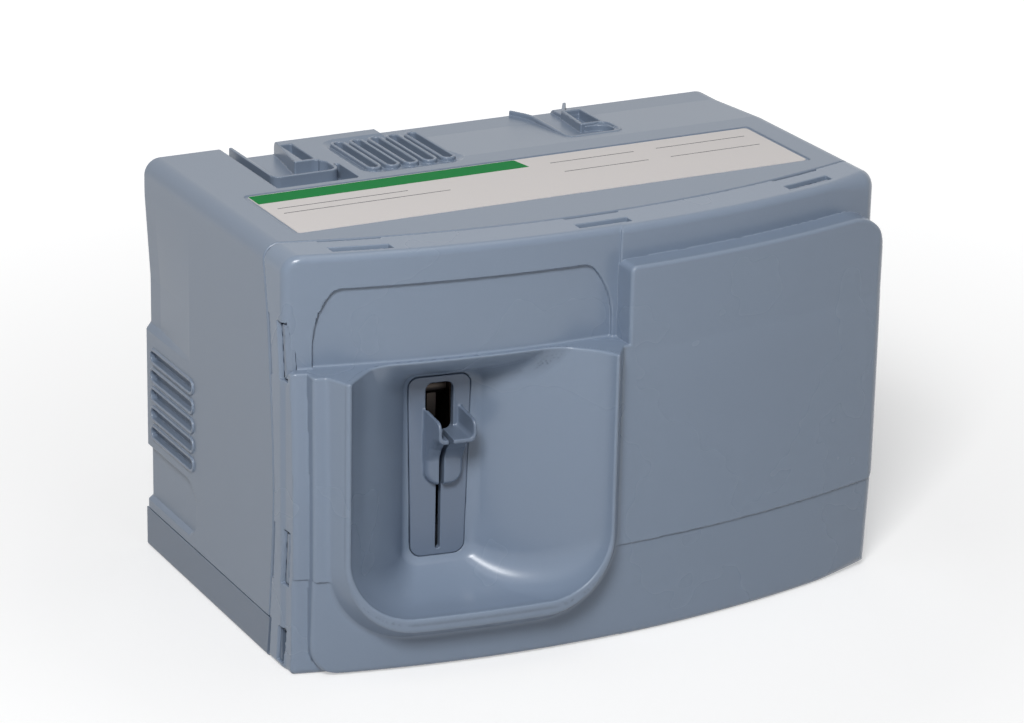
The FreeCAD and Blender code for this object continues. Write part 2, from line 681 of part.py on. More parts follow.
def make_housing():
    """Rear housing: deep moulded box with guide channels, grips and snap tabs."""
    tray_top = size("tray_height")
    body = envelope(0).common(seam_sector(0))
    body = body.common(block(-half_width, half_width, -rear - overrun, rear, tray_top, height))
    side = half_width - shell_wall
    ceiling = height - shell_wall
    void = block(-side, side, -rear - overrun, rear - skin, -skin, ceiling)
    body = body.cut(void)
    deck_left = size("deck_inset") - half_width
    fall = prism((Vector(deck_left, rear - size("deck_reach"), height),
                  Vector(deck_left, rear + gap, height - size("deck_drop")),
                  Vector(deck_left, rear + gap, height + skin),
                  Vector(deck_left, rear - size("deck_reach"), height + skin)),
                 RIGHT * (half_width - deck_left + skin))
    body = body.cut(fall)
    left = size("guide_inset") - half_width
    right = left + size("guide_pitch")
    deep = height - size("guide_depth")
    shallow = height - size("guide_shallow")
    body = body.fuse([tub(left, deep, True), tub(right, shallow, False)])
    pockets = []
    for place, floor, moat in ((left, deep, True), (right, shallow, False)):
        cuts, adds, hollows = guide(place, floor, height, moat)
        for cut in cuts:
            body = body.cut(cut)
        body = body.fuse(adds)
        pockets += hollows
    for step in range(int(size("grip_count"))):
        across = size("grip_inset") - half_width + step * size("grip_pitch")
        middle = Vector(across, rear - size("grip_start") - size("grip_length") / 2, ceiling)
        ring, hollow = grip_ring(middle, BACK, RIGHT, UP * shell_wall, size("grip_sink"))
        body = body.fuse(ring)
        pockets.append(hollow)
    for side_sign in (-1, 1):
        cut, adds, hollows = side_details(side_sign)
        body = body.cut(cut).fuse(adds)
        pockets += hollows
    recess = label_half + size("label_border")
    label_rear = rear - size("label_rear")
    label_front = label_rear - size("label_depth") - size("label_border") * 2
    pockets.append(block(-recess, recess, label_front, label_rear, height - size("label_sink"), height + skin))
    pump = Vector(pump_x, rear - skin * 2, size("pump_height"))
    valve = Vector(valve_x, rear - skin * 2, size("pump_height"))
    fit = size("run_fit") * 2
    pockets.append(rod(pump, pump + BACK * (skin * 3), size("pump_dog") + fit))
    pockets.append(rod(valve, valve + BACK * (skin * 3), size("valve_dog") + fit))
    half = size("board_width") / 2 - skin
    low = board_low + skin
    high = board_low + size("board_height") - skin
    collar = block(card_x - half - skin, card_x + half + skin, board_back, rear - skin, low - skin, high + skin)
    body = body.fuse(collar)
    pockets.append(block(card_x - half, card_x + half, board_back - skin, rear + skin, low, high))
    for pocket in pockets:
        body = body.cut(pocket)
    tabs = []
    for step in (-1, 0, 1):
        tabs += snap_tab(step * snap_reach, height, 0)
    for level in snap_levels[:-1]:
        for side_sign in (-1, 1):
            tabs += snap_tab(half_width, level, side_sign)
    return joined([body] + tabs)


# Bottom tray

def make_tray():
    """Bottom tray: shallow pan with a tongue that stands inside the housing."""
    top = size("tray_height")
    body = envelope(0).common(seam_sector(0))
    body = body.common(block(-half_width, half_width, -rear - overrun, rear, 0, top))
    side = half_width - skin
    body = body.cut(block(-side, side, -rear - overrun, rear - skin, skin, top + skin))
    face = half_width - shell_wall - size("run_fit")
    back_face = rear - skin - size("run_fit")
    thick = size("tongue_thick")
    rise = top + size("tongue_rise")
    ahead = seam_side(top) + skin
    adds = []
    for side_sign in (-1, 1):
        edges = sorted((side_sign * face, side_sign * (face - thick)))
        adds.append(block(*edges, ahead, back_face, skin, rise))
        edges = sorted((side_sign * (face - thick), side_sign * (half_width - skin)))
        adds.append(block(*edges, ahead, back_face, skin, skin * 2))
        edges = sorted((side_sign * (half_width - skin - gap - size("snap_thick")), side_sign * (half_width - skin)))
        adds.append(block(*edges, seam_side(size("snap_lower")), ahead + skin, skin, top - gap))
        adds += snap_tab(half_width, size("snap_lower"), side_sign)
    adds.append(block(-face, face, back_face - thick, back_face, skin, rise))
    adds.append(block(-face, face, back_face, rear - skin, skin, top - gap))
    return joined([body] + adds)


# Sampler plate, needle guard and what swings behind them

def make_plate():
    """Sampler plate with window, needle slit and the guard that steadies a syringe."""
    front = bowl_end + gap
    thick = size("plate_thick")
    body = Part.Face(plate_outline(0, front)).extrude(BACK * (skin + gap * 2))
    flange = Part.Face(plate_outline(skin, bowl_end - skin - gap / 2)).extrude(BACK * thick)
    middle = -size("plate_shift")
    half = size("guard_half")
    reach = size("guard_reach")
    top = guard_top
    notch = top - size("guard_dip")
    low = top - size("guard_height")
    profile = (
        Vector(middle - half, -front, top),
        Vector(middle - half, -front - reach * 0.35, top - (top - notch) * 0.15),
        Vector(middle - half, -front - reach, notch + (top - notch) * 0.25),
        Vector(middle - half, -front - reach, notch - size("guard_wall")),
        Vector(middle - half, -front - reach * 0.4, notch - (notch - low) * 0.45),
        Vector(middle - half, -front - reach * 0.35, low + size("guard_wall")),
        Vector(middle - half, -front, low),
    )
    guard = prism(profile, RIGHT * (half * 2))
    inside = half - size("guard_wall")
    trough = prism(
        (Vector(middle, -front - reach - skin, notch),
         Vector(middle + inside, -front - reach - skin, notch + (top - notch) * 0.3),
         Vector(middle + inside, -front - reach - skin, top + skin),
         Vector(middle - inside, -front - reach - skin, top + skin),
         Vector(middle - inside, -front - reach - skin, notch + (top - notch) * 0.3)),
        BACK * (reach + skin))
    waist = []
    for side in (-1, 1):
        waist.append(prism(
            (Vector(middle + side * half, -front - reach - skin, low - skin),
             Vector(middle + side * half, -front - reach - skin, notch - size("guard_wall")),
             Vector(middle + side * half * 0.55, -front - reach - skin, notch - size("guard_wall") * 3),
             Vector(middle + side * half * 0.75, -front - reach - skin, low - skin)),
            BACK * (reach + skin - gap)))
    body = body.fuse([flange, guard]).cut(trough)
    for cut in waist:
        body = body.cut(cut)
    back = -(bowl_end - skin * 4)
    half_slit = size("slit_width") / 2
    foot = plate_low + size("slit_rise")
    slit = block(middle - half_slit, middle + half_slit, -front - reach - skin, back, foot, top)
    tall = size("window_height")
    wide = size("window_half")
    window = obround(Vector(middle, -front - gap, window_top - tall / 2), UP, RIGHT, BACK * (thick * 3),
                     tall, wide * 2)
    corner = block(middle - wide, middle + wide, -front - gap, back, window_top - tall, window_top - wide / 2)
    body = body.cut(slit).cut(window).cut(corner)
    return scoop_frame(body.removeSplitter())


plate_back = bowl_end - skin - gap / 2 - size("plate_thick")
pivot_radius = bowl_end - size("pivot_back")
arm_middle = -size("plate_shift")
bracket_back = plate_back - size("bracket_depth")


def make_bracket():
    """Channel behind the plate that carries the pivot pin and the needle park."""
    half = size("cheek_gap") / 2
    cheek = size("cheek_thick")
    low = plate_low
    top = plate_top
    outer = block(arm_middle - half - cheek, arm_middle + half + cheek, -plate_back,
                  -bracket_back + cheek, low, top)
    inner = block(arm_middle - half, arm_middle + half, -plate_back - cheek, -bracket_back,
                  low - cheek, top + cheek)
    axle = Vector(arm_middle, -pivot_radius, pivot_height)
    bore = rod(axle - RIGHT * (half + cheek * 2), axle + RIGHT * (half + cheek * 2), size("pivot_pin"))
    return scoop_frame(outer.cut(inner).cut(bore))


def make_pin():
    """Pivot pin held in the two bracket cheeks."""
    half = size("cheek_gap") / 2 + size("cheek_thick")
    axle = Vector(arm_middle, -pivot_radius, pivot_height)
    return scoop_frame(rod(axle - RIGHT * half, axle + RIGHT * half, size("pivot_pin")))


def make_arm():
    """Needle arm: hub on the pin and a short holder below it."""
    half = size("cheek_gap") / 2 - gap
    axle = Vector(arm_middle, -pivot_radius, pivot_height)
    hub = rod(axle - RIGHT * half, axle + RIGHT * half, size("arm_hub"))
    holder_half = size("needle_size") * 1.6
    foot = axle - UP * size("arm_length")
    holder = block(arm_middle - holder_half, arm_middle + holder_half, foot.y - holder_half,
                   foot.y + holder_half, foot.z, axle.z)
    bore = rod(axle - RIGHT * (half * 2), axle + RIGHT * (half * 2), size("pivot_pin") + size("run_fit") * 2)
    needle = rod(foot - UP * skin, axle - UP * (size("arm_hub") / 2), size("needle_size"))
    return scoop_frame(hub.fuse(holder).cut(bore).cut(needle))


def make_needle():
    """Steel sampling needle seated in the arm."""
    axle = Vector(arm_middle, -pivot_radius, pivot_height)
    tip = Vector(axle.x, axle.y, needle_tip)
    return scoop_frame(rod(tip, axle - UP * (size("arm_hub") / 2), size("needle_size")))


def make_park():
    """Park block with the groove in which the needle tip rests and is rinsed."""
    half = size("cheek_gap") / 2 - gap / 3
    tip = needle_tip
    low = plate_low
    body = block(arm_middle - half, arm_middle + half, -plate_back + skin, -bracket_back, low, tip + skin * 2)
    groove_half = size("needle_size") / 2 + gap
    groove = block(arm_middle - groove_half, arm_middle + groove_half, -plate_back - skin,
                   -pivot_radius + groove_half, low + skin, tip + skin * 3)
    return scoop_frame(body.cut(groove))


# Chassis plate and divider

chassis_front = rear - size("chassis_back")
chassis_rear = chassis_front + size("chassis_thick")
floor_top = skin
divider_x = size("divider_inset") - half_width


def make_divider():
    """Upright wall between the analysis side and the pouches."""
    front = seam_side(0) + skin * 4
    top = height - size("guide_depth") - skin - gap
    return block(divider_x, divider_x + size("divider_thick"), front, rear - skin * 2 - gap, floor_top, top)


class Drawn:
    """Body whose sketches and pads take their sizes from the sheet."""

    def __init__(self, name, role):
        self.body = doc.addObject("PartDesign::Body", name)
        self.role = role
        self.count = 0

    def plane(self):
        """Origin plane of the body."""
        for feature in self.body.Origin.OriginFeatures:
            if feature.Role == self.role:
                return feature

    def sketch(self):
        """Empty sketch on the body's plane."""
        self.count += 1
        drawing = self.body.newObject("Sketcher::SketchObject", "%s_lines%d" % (self.body.Name, self.count))
        drawing.AttachmentSupport = (self.plane(), [""])
        drawing.MapMode = "FlatFace"
        return drawing

    def box_lines(self, drawing, low_x, low_y, high_x, high_y):
        """Rectangle between two corners given as rules on the sheet."""
        corners = ((low_x, low_y), (high_x, low_y), (high_x, high_y), (low_x, high_y))
        self.lines(drawing, corners)

    def lines(self, drawing, corners):
        """Closed outline whose corners are pairs of rules on the sheet."""
        spots = [(float(sheet.evalExpression(x)), float(sheet.evalExpression(y))) for x, y in corners]
        first = drawing.GeometryCount
        for place, spot in enumerate(spots):
            following = spots[(place + 1) % len(spots)]
            drawing.addGeometry(Part.LineSegment(Vector(*spot, 0), Vector(*following, 0)))
        for place in range(len(spots)):
            following = first + (place + 1) % len(spots)
            drawing.addConstraint(Sketcher.Constraint("Coincident", first + place, 2, following, 1))
        for place, rules in enumerate(corners):
            for kind, rule, value in zip(("DistanceX", "DistanceY"), rules, spots[place]):
                row = drawing.addConstraint(Sketcher.Constraint(kind, -1, 1, first + place, 1, value))
                drawing.setExpression("Constraints[%d]" % row, rule.replace("Sizes.", sheet.Name + "."))

    def ring(self, drawing, middle_x, middle_y, radius):
        """Circle whose middle and radius are rules on the sheet."""
        spot = [float(sheet.evalExpression(rule)) for rule in (middle_x, middle_y, radius)]
        place = drawing.addGeometry(Part.Circle(Vector(spot[0], spot[1], 0), UP, spot[2]))
        row = drawing.addConstraint(Sketcher.Constraint("DistanceX", -1, 1, place, 3, spot[0]))
        drawing.setExpression("Constraints[%d]" % row, middle_x)
        row = drawing.addConstraint(Sketcher.Constraint("DistanceY", -1, 1, place, 3, spot[1]))
        drawing.setExpression("Constraints[%d]" % row, middle_y)
        row = drawing.addConstraint(Sketcher.Constraint("Radius", place, spot[2]))
        drawing.setExpression("Constraints[%d]" % row, radius)

    def feature(self, kind, drawing, length):
        """Pad or Pocket of a drawing with a length rule."""
        made = self.body.newObject("PartDesign::" + kind, "%s_%s%d" % (self.body.Name, kind.lower(), self.count))
        made.Profile = drawing
        made.setExpression("Length", length)
        drawing.Visibility = False
        return made

    def place(self, x_rule, y_rule, z_rule):
        """Moves the body to its place."""
        for axis, rule in zip("xyz", (x_rule, y_rule, z_rule)):
            self.body.setExpression("Placement.Base." + axis, rule)
        return self.body


def keep(shape, name):
    """Adds a finished shape to the document under its own name."""
    item = doc.addObject("Part::Feature", name)
    item.Label = name
    item.Shape = shape
    pieces.append(item)
    return item


def keep_body(drawn):
    """Keeps a drawn body as a piece."""
    drawn.body.Label = drawn.body.Name
    pieces.append(drawn.body)


REAR = "(Sizes.body_depth / 2)"
CHASSIS = "(" + REAR + " - Sizes.chassis_back)"
CARD_LOW = "(Sizes.body_height - Sizes.card_drop - Sizes.card_height)"


def from_left(alias):
    """Rule for a place measured from the left side wall."""
    return "(Sizes.%s - Sizes.body_width / 2)" % alias


def make_chassis():
    """Chassis plate with shaft bores and the window behind the sensor card."""
    plate = Drawn("chassis", "XZ_Plane")
    lines = plate.sketch()
    left = "-(Sizes.body_width / 2 - Sizes.shell_wall - Sizes.tongue_thick - Sizes.fit_gap)"
    top = "Sizes.body_height - Sizes.guide_depth - Sizes.skin - Sizes.fit_gap"
    plate.box_lines(lines, left, "Sizes.skin", from_left("divider_inset"), top)
    bore = "Sizes.shaft_size / 2 + Sizes.run_fit"
    plate.ring(lines, from_left("pump_inset"), "Sizes.pump_height", bore)
    plate.ring(lines, from_left("valve_inset"), "Sizes.pump_height", bore)
    heater_half = "(Sizes.card_width / 2 - Sizes.skin * 2)"
    middle = from_left("card_inset")
    plate.box_lines(lines, middle + " - " + heater_half, CARD_LOW + " + Sizes.skin * 2",
                    middle + " + " + heater_half, CARD_LOW + " + Sizes.card_height - Sizes.skin * 2")
    plate.feature("Pad", lines, "Sizes.chassis_thick")
    plate.place("0", CHASSIS + " + Sizes.chassis_thick", "0")
    keep_body(plate)


# Pump

def make_race():
    """Pump race: block with a half round track that opens upwards for the tube."""
    x_middle = pump_x
    level = size("pump_height")
    half = size("race_half")
    front = chassis_rear
    back = front + size("race_depth")
    radius = size("race_radius")
    body = block(x_middle - half, x_middle + half, front, back, level - half, level + half)
    start = Vector(x_middle, front - skin, level)
    track = rod(start, start + BACK * (size("race_depth") + skin * 2), radius * 2)
    upper = block(x_middle - radius, x_middle + radius, front - skin, back + skin, level, level + half + skin)
    return body.cut(track).cut(upper)


def make_pump_tube():
    """Pump tube: half ring under the rollers with two legs that rise to the lines."""
    x_middle = pump_x
    level = size("pump_height")
    orbit = size("race_radius") - size("tube_size") / 2 - run_gap
    middle = chassis_rear + size("race_depth") / 2
    top = level + size("race_half") + size("tube_size")
    left = Vector(x_middle - orbit, middle, level)
    right = Vector(x_middle + orbit, middle, level)
    bottom = Vector(x_middle, middle, level - orbit)
    path = Part.Wire([
        Part.makeLine(Vector(left.x, middle, top), left),
        Part.Arc(left, bottom, right).toShape(),
        Part.makeLine(right, Vector(right.x, middle, top)),
    ])
    section = Part.Wire(Part.makeCircle(size("tube_size") / 2, Vector(left.x, middle, top), UP))
    return path.makePipeShell([section], True, True)


run_gap = size("run_fit") * 2


def make_rotor():
    """Pump rotor: two discs, a hub, roller pins and the drive shaft."""
    x_middle = pump_x
    level = size("pump_height")
    disc = size("rotor_disc")
    long_run = size("roller_length") + gap * 2
    middle = chassis_rear + size("race_depth") / 2
    axis = Vector(x_middle, middle, level)
    front = axis - BACK * (long_run / 2)
    back = axis + BACK * (long_run / 2)
    nose = chassis_front + gap
    solids = [
        rod(front - BACK * disc, front, size("rotor_radius") * 2),
        rod(back, back + BACK * disc, size("rotor_radius") * 2),
        rod(front, back, size("rotor_hub")),
        rod(Vector(x_middle, nose, level), front - BACK * disc, size("shaft_size")),
        rod(back + BACK * disc, Vector(x_middle, rear - size("dog_length"), level), size("shaft_size")),
    ]
    for pin in roller_centres():
        solids.append(rod(pin - BACK * (long_run / 2), pin + BACK * (long_run / 2), size("roller_pin")))
    return joined(solids)


def roller_centres():
    """Centres of the roller pins round the pump axis."""
    middle = chassis_rear + size("race_depth") / 2
    centres = []
    count = int(size("roller_count"))
    for step in range(count):
        angle = math.pi / 2 + 2 * math.pi * step / count
        centres.append(Vector(pump_x + size("roller_orbit") * math.cos(angle), middle,
                              size("pump_height") + size("roller_orbit") * math.sin(angle)))
    return centres


def make_roller(step):
    """One pump roller, crowned towards its ends."""
    pin = roller_centres()[step]
    half = size("roller_length") / 2
    radius = size("roller_radius")
    bore = size("roller_pin") / 2 + size("run_fit")
    crown = radius - gap
    lines = (
        Vector(bore, 0, -half), Vector(crown, 0, -half), Vector(radius, 0, -half + gap * 2),
        Vector(radius, 0, half - gap * 2), Vector(crown, 0, half), Vector(bore, 0, half),
    )
    solid = Part.Face(closed(lines)).revolve(Vector(0, 0, 0), UP, 360)
    solid.rotate(Vector(0, 0, 0), RIGHT, 90)
    solid.translate(pin)
    return solid


def make_dog(name, diameter, x_rule):
    """Drive dog: round coupling with a cross of slots facing the rear."""
    dog = Drawn(name, "XZ_Plane")
    lines = dog.sketch()
    dog.ring(lines, "0", "0", diameter + " / 2")
    dog.feature("Pad", lines, "Sizes.dog_length")
    cross = dog.sketch()
    half = "Sizes.dog_slot / 2"
    reach = diameter
    dog.lines(cross, (
        ("-" + half, "-" + reach), (half, "-" + reach), (half, "-" + half), (reach, "-" + half),
        (reach, half), (half, half), (half, reach), ("-" + half, reach), ("-" + half, half),
        ("-" + reach, half), ("-" + reach, "-" + half), ("-" + half, "-" + half)))
    pocket = dog.feature("Pocket", cross, "Sizes.dog_slot_depth")
    pocket.Reversed = True
    dog.place(x_rule, REAR, "Sizes.pump_height")
    keep_body(dog)
    return dog


# Distribution valve

def make_valve_body():
    """Valve body: cup with ports round its rim."""
    x_middle = valve_x
    level = size("pump_height")
    start = Vector(x_middle, chassis_rear, level)
    cup = rod(start, start + BACK * size("valve_depth"), size("valve_radius") * 2)
    solids = [cup]
    ring = start + BACK * (size("valve_depth") * 0.6)
    count = int(size("port_count"))
    for step in range(count):
        angle = math.pi / 2 + math.pi * (step - (count - 1) / 2) / count
        way = Vector(math.cos(angle), 0, math.sin(angle))
        solids.append(rod(ring + way * (size("valve_radius") - skin),
                          ring + way * (size("valve_radius") + size("port_reach")), size("port_size")))
    body = joined(solids)
    bore = start + BACK * size("valve_floor")
    body = body.cut(rod(bore, bore + BACK * size("valve_depth"), (size("valve_bore") + size("run_fit")) * 2))
    return body.cut(rod(start - BACK * skin, bore + BACK * skin, size("shaft_size") + run_gap))


def make_valve_rotor():
    """Valve rotor: ported disc on the drive shaft."""
    x_middle = valve_x
    level = size("pump_height")
    start = Vector(x_middle, chassis_rear + size("valve_floor") + gap, level)
    end = start + BACK * (size("valve_depth") - size("valve_floor"))
    disc = rod(start, end, size("valve_bore") * 2)
    shaft = rod(Vector(x_middle, chassis_front + gap, level), Vector(x_middle, rear - size("dog_length"), level),
                size("shaft_size"))
    holes = []
    count = int(size("port_count"))
    for step in range(count):
        angle = 2 * math.pi * step / count
        way = Vector(math.cos(angle), 0, math.sin(angle)) * (size("valve_bore") * 0.65)
        holes.append(rod(end + way - BACK * skin, end + way + BACK * skin, size("port_size")))
    body = joined([disc, shaft])
    for hole in holes:
        body = body.cut(hole)
    return body


# Sensor card, heater, optics and contact board

def make_card_parts():
    """Sensor card, its lid, the heater plate and the optical cell."""
    card = doc.addObject("Part::Box", "sensor_card")
    bind(card, Length="Sizes.card_width", Width="Sizes.card_thick", Height="Sizes.card_height")
    seat(card, from_left("card_inset") + " - Sizes.card_width / 2", CHASSIS + " - Sizes.card_thick", CARD_LOW)
    lid = doc.addObject("Part::Box", "card_lid")
    bind(lid, Length="Sizes.card_width - Sizes.skin * 2", Width="Sizes.card_lid",
         Height="Sizes.card_height - Sizes.skin * 2")
    seat(lid, from_left("card_inset") + " - Sizes.card_width / 2 + Sizes.skin",
         CHASSIS + " - Sizes.card_thick - Sizes.card_lid", CARD_LOW + " + Sizes.skin")
    heater = doc.addObject("Part::Box", "heater_plate")
    bind(heater, Length="Sizes.card_width - Sizes.skin * 4 - Sizes.fit_gap", Width="Sizes.heater_thick",
         Height="Sizes.card_height - Sizes.skin * 4 - Sizes.fit_gap")
    seat(heater, from_left("card_inset") + " - Sizes.card_width / 2 + Sizes.skin * 2 + Sizes.fit_gap / 2",
         CHASSIS, CARD_LOW + " + Sizes.skin * 2 + Sizes.fit_gap / 2")
    for item in (card, lid, heater):
        item.Label = item.Name
        pieces.append(item)


def bind(item, **rules):
    """Ties an object's sizes to the sheet."""
    for name, rule in rules.items():
        item.setExpression(name, rule)


def seat(item, x_rule, y_rule, z_rule):
    """Ties an object's place to the sheet."""
    for axis, rule in zip("xyz", (x_rule, y_rule, z_rule)):
        item.setExpression("Placement.Base." + axis, rule)


def make_optic():
    """Optical cell body with a window through it."""
    x_middle = optic_x
    half = size("optic_width") / 2
    low = card_low + size("card_height") - size("optic_width")
    back = chassis_front
    body = block(x_middle - half, x_middle + half, back - size("optic_depth"), back, low, low + half * 2)
    start = Vector(x_middle, back - size("optic_depth") - skin, low + half)
    return body.cut(rod(start, start + BACK * (size("optic_depth") + skin), size("optic_glass")))


def make_optic_glass():
    """Glass of the optical cell."""
    low = card_low + size("card_height") - size("optic_width")
    start = Vector(optic_x, chassis_front - size("optic_depth"), low + size("optic_width") / 2)
    return rod(start, start + BACK * size("optic_depth"), size("optic_glass"))


def make_board():
    """Contact board behind the rear window."""
    half = size("board_width") / 2
    back = board_back
    x_middle = card_x
    low = board_low
    return block(x_middle - half, x_middle + half, back - size("board_thick"), back, low, low + size("board_height"))


def make_pads():
    """Row of contact pads on the board, one solid each."""
    back = board_back
    count = int(size("pad_count"))
    room = size("board_width") - skin * 4
    low = board_low + skin * 2
    high = board_low + size("board_height") - skin * 2
    pads = []
    for step in range(count):
        x_middle = card_x + room * ((step + 0.5) / count - 0.5)
        half = size("pad_width") / 2
        pads.append(block(x_middle - half, x_middle + half, back, back + size("pad_thick"), low, high))
    return Part.makeCompound(pads)


# Pouches, rack, manifold and lines

rack_left = divider_x + size("divider_thick")
rack_rear = rear - skin - size("tongue_thick") - gap * 2
rack_front = rack_rear - size("rack_length")
rack_right = half_width - shell_wall - size("rack_margin")
rack_floor_top = floor_top + size("rack_floor")
pouch_low = rack_floor_top
pouch_top = height - size("pouch_head")
pouch_total = int(size("pouch_count"))
WASTE_SHARE = 1.5
bay = (rack_right - rack_left - size("rack_wall") * pouch_total) / (pouch_total + WASTE_SHARE)
waste_bay = bay * WASTE_SHARE


# Pouch sections: share of the thickness from its middle, and share of the length drawn in
POUCH_SHARES = ((-0.5, 0.08), (-0.3, 0.02), (0.3, 0.02), (0.5, 0.08))
pouch_sag = POUCH_SHARES[1][1] * size("rack_length")


def bay_left(step):
    """Left face of a pouch bay."""
    return rack_left + step * (bay + size("rack_wall"))


def make_rack():
    """Pouch rack: floor with upright partitions."""
    solids = [block(rack_left, rack_right, rack_front, rack_rear, floor_top, rack_floor_top)]
    for step in range(1, pouch_total + 1):
        edge = bay_left(step)
        solids.append(block(edge - size("rack_wall"), edge, rack_front, rack_rear, floor_top,
                            rack_floor_top + size("rack_rise")))
    return joined(solids)


def make_pouch(left, thick):
    """Sealed pouch, flat at its edges and full in the middle."""
    middle = left + gap + thick / 2
    front = rack_front + size("pouch_margin")
    back = rack_rear - size("pouch_margin")
    sections = []
    for across_share, drawn_share in POUCH_SHARES:
        inset = drawn_share * size("rack_length")
        x_place = middle + thick * across_share
        low = pouch_low + inset - pouch_sag
        top = pouch_top - inset
        corner = size("pouch_margin") * 3
        outline = rounded(
            (Vector(x_place, front + inset, low), Vector(x_place, back - inset, low),
             Vector(x_place, back - inset, top), Vector(x_place, front + inset, top)),
            (corner, corner, corner, corner))
        sections.append(outline)
    return Part.makeLoft(sections, True, True)


def make_spout(left, thick):
    """Spout welded into the top of a pouch."""
    start = Vector(left + gap + thick / 2, rack_front + size("rack_length") / 4, pouch_top - pouch_sag)
    collar = rod(start, start + UP * (size("spout_rise") * 0.3), size("spout_size"))
    neck = rod(start, start + UP * size("spout_rise"), size("spout_size") * 0.6)
    return joined([collar, neck])


def make_manifold():
    """Manifold bar over the spouts."""
    low = pouch_top - pouch_sag + size("spout_rise")
    y_middle = rack_front + size("rack_length") / 4
    half = size("manifold_size") / 2
    return block(rack_left, rack_right, y_middle - half, y_middle + half, low,
                 low + size("manifold_size"))


# Build every piece

keep(make_housing(), "rear_housing")
keep(make_tray(), "bottom_tray")
keep(make_cover(), "front_cover")
keep(make_plate(), "sampler_plate")
keep(make_bracket(), "sampler_bracket")
keep(make_pin(), "pivot_pin")
keep(make_arm(), "sampler_arm")
keep(make_needle(), "sampling_needle")
keep(make_park(), "needle_park")
keep(make_divider(), "divider_wall")
make_chassis()
keep(make_race(), "pump_race")
keep(make_pump_tube(), "pump_tube")
keep(make_rotor(), "pump_rotor")
for number in range(int(size("roller_count"))):
    keep(make_roller(number), "pump_roller_%d" % (number + 1))
make_dog("pump_drive_dog", "Sizes.pump_dog", from_left("pump_inset"))
keep(make_valve_body(), "valve_body")
keep(make_valve_rotor(), "valve_rotor")
make_dog("valve_drive_dog", "Sizes.valve_dog", from_left("valve_inset"))
make_card_parts()
keep(make_optic(), "optical_cell")
keep(make_optic_glass(), "optical_glass")
keep(make_board(), "contact_board")
keep(make_pads(), "contact_pads")
keep(make_rack(), "pouch_rack")
for number in range(pouch_total):
    keep(make_pouch(bay_left(number), bay - gap * 2), "reagent_pouch_%d" % (number + 1))
    keep(make_spout(bay_left(number), bay - gap * 2), "reagent_spout_%d" % (number + 1))
keep(make_pouch(bay_left(pouch_total), waste_bay - gap * 2), "waste_pouch")
keep(make_spout(bay_left(pouch_total), waste_bay - gap * 2), "waste_spout")
keep(make_manifold(), "manifold")
label = doc.addObject("Part::Box", "label")
bind(label, Length="Sizes.body_width - Sizes.label_margin * 2", Width="Sizes.label_depth", Height="Sizes.label_thick")
seat(label, "Sizes.label_margin - Sizes.body_width / 2", REAR + " - Sizes.label_rear - Sizes.label_border - Sizes.label_depth",
     "Sizes.body_height - Sizes.label_sink")
pieces.append(label)

doc.recompute()
for item in doc.Objects:
    if "Invalid" in item.State or "Error" in item.State:
        raise RuntimeError("%s failed to build" % item.Label)
for piece in pieces:
    if piece.Shape.isNull() or not piece.Shape.isValid():
        raise RuntimeError("%s has a bad shape" % piece.Label)
os.makedirs("parts", exist_ok=True)
for piece in pieces:
    piece.Shape.exportStep(os.path.join("parts", piece.Label + ".step"))
    box = piece.Shape.BoundBox
    print("%-18s solids %d  volume %9.0f  x %7.1f %7.1f  y %7.1f %7.1f  z %6.1f %6.1f" % (
        piece.Label, len(piece.Shape.Solids), piece.Shape.Volume, box.XMin, box.XMax, box.YMin, box.YMax,
        box.ZMin, box.ZMax))
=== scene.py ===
"""Blender scene of the sensor and reagent cartridge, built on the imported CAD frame.

The skins that the photograph shows are drawn as distance fields in millimetres, in the
part's own frame, and meshed on uneven grids. Everything else keeps its CAD solid.
"""
import functools
import logging
import math
from dataclasses import dataclass
from enum import Enum
from typing import Callable, Dict, Iterable, List, Sequence, Tuple, Union

import bpy
import numpy as np
from mathutils import Matrix, Vector

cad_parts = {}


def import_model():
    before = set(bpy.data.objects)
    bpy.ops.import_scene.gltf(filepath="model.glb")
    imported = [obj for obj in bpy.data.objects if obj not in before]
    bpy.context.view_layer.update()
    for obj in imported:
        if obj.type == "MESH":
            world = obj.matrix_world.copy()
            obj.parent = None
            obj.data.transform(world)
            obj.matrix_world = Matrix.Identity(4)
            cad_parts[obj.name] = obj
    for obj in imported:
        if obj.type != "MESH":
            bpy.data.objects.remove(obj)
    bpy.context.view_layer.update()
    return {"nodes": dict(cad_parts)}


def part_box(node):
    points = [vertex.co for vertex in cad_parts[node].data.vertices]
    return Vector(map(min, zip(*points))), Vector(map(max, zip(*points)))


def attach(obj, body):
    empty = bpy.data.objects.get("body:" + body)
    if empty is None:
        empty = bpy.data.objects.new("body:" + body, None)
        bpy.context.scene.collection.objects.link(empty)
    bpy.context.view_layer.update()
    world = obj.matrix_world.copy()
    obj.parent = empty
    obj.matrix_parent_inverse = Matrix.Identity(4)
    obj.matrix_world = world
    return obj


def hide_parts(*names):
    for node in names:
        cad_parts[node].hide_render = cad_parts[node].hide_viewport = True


LOG = logging.getLogger("cartridge")
MM = 0.001
Array = np.ndarray
Node = bpy.types.ShaderNode
Link = Tuple[Node, str]


# ---------------------------------------------------------------- distance fields

def round_meet(a: Array, b: Array, radius: float) -> Array:
    """Intersection of two fields with a rounded outer edge.

    Args:
        a: First field, negative inside.
        b: Second field, negative inside.
        radius: Radius of the edge in mm, a number or an array.

    Returns:
        The field of the intersection.
    """
    u = np.maximum(a + radius, 0)
    v = np.maximum(b + radius, 0)
    return np.minimum(np.maximum(a, b), -radius) + np.sqrt(u * u + v * v)


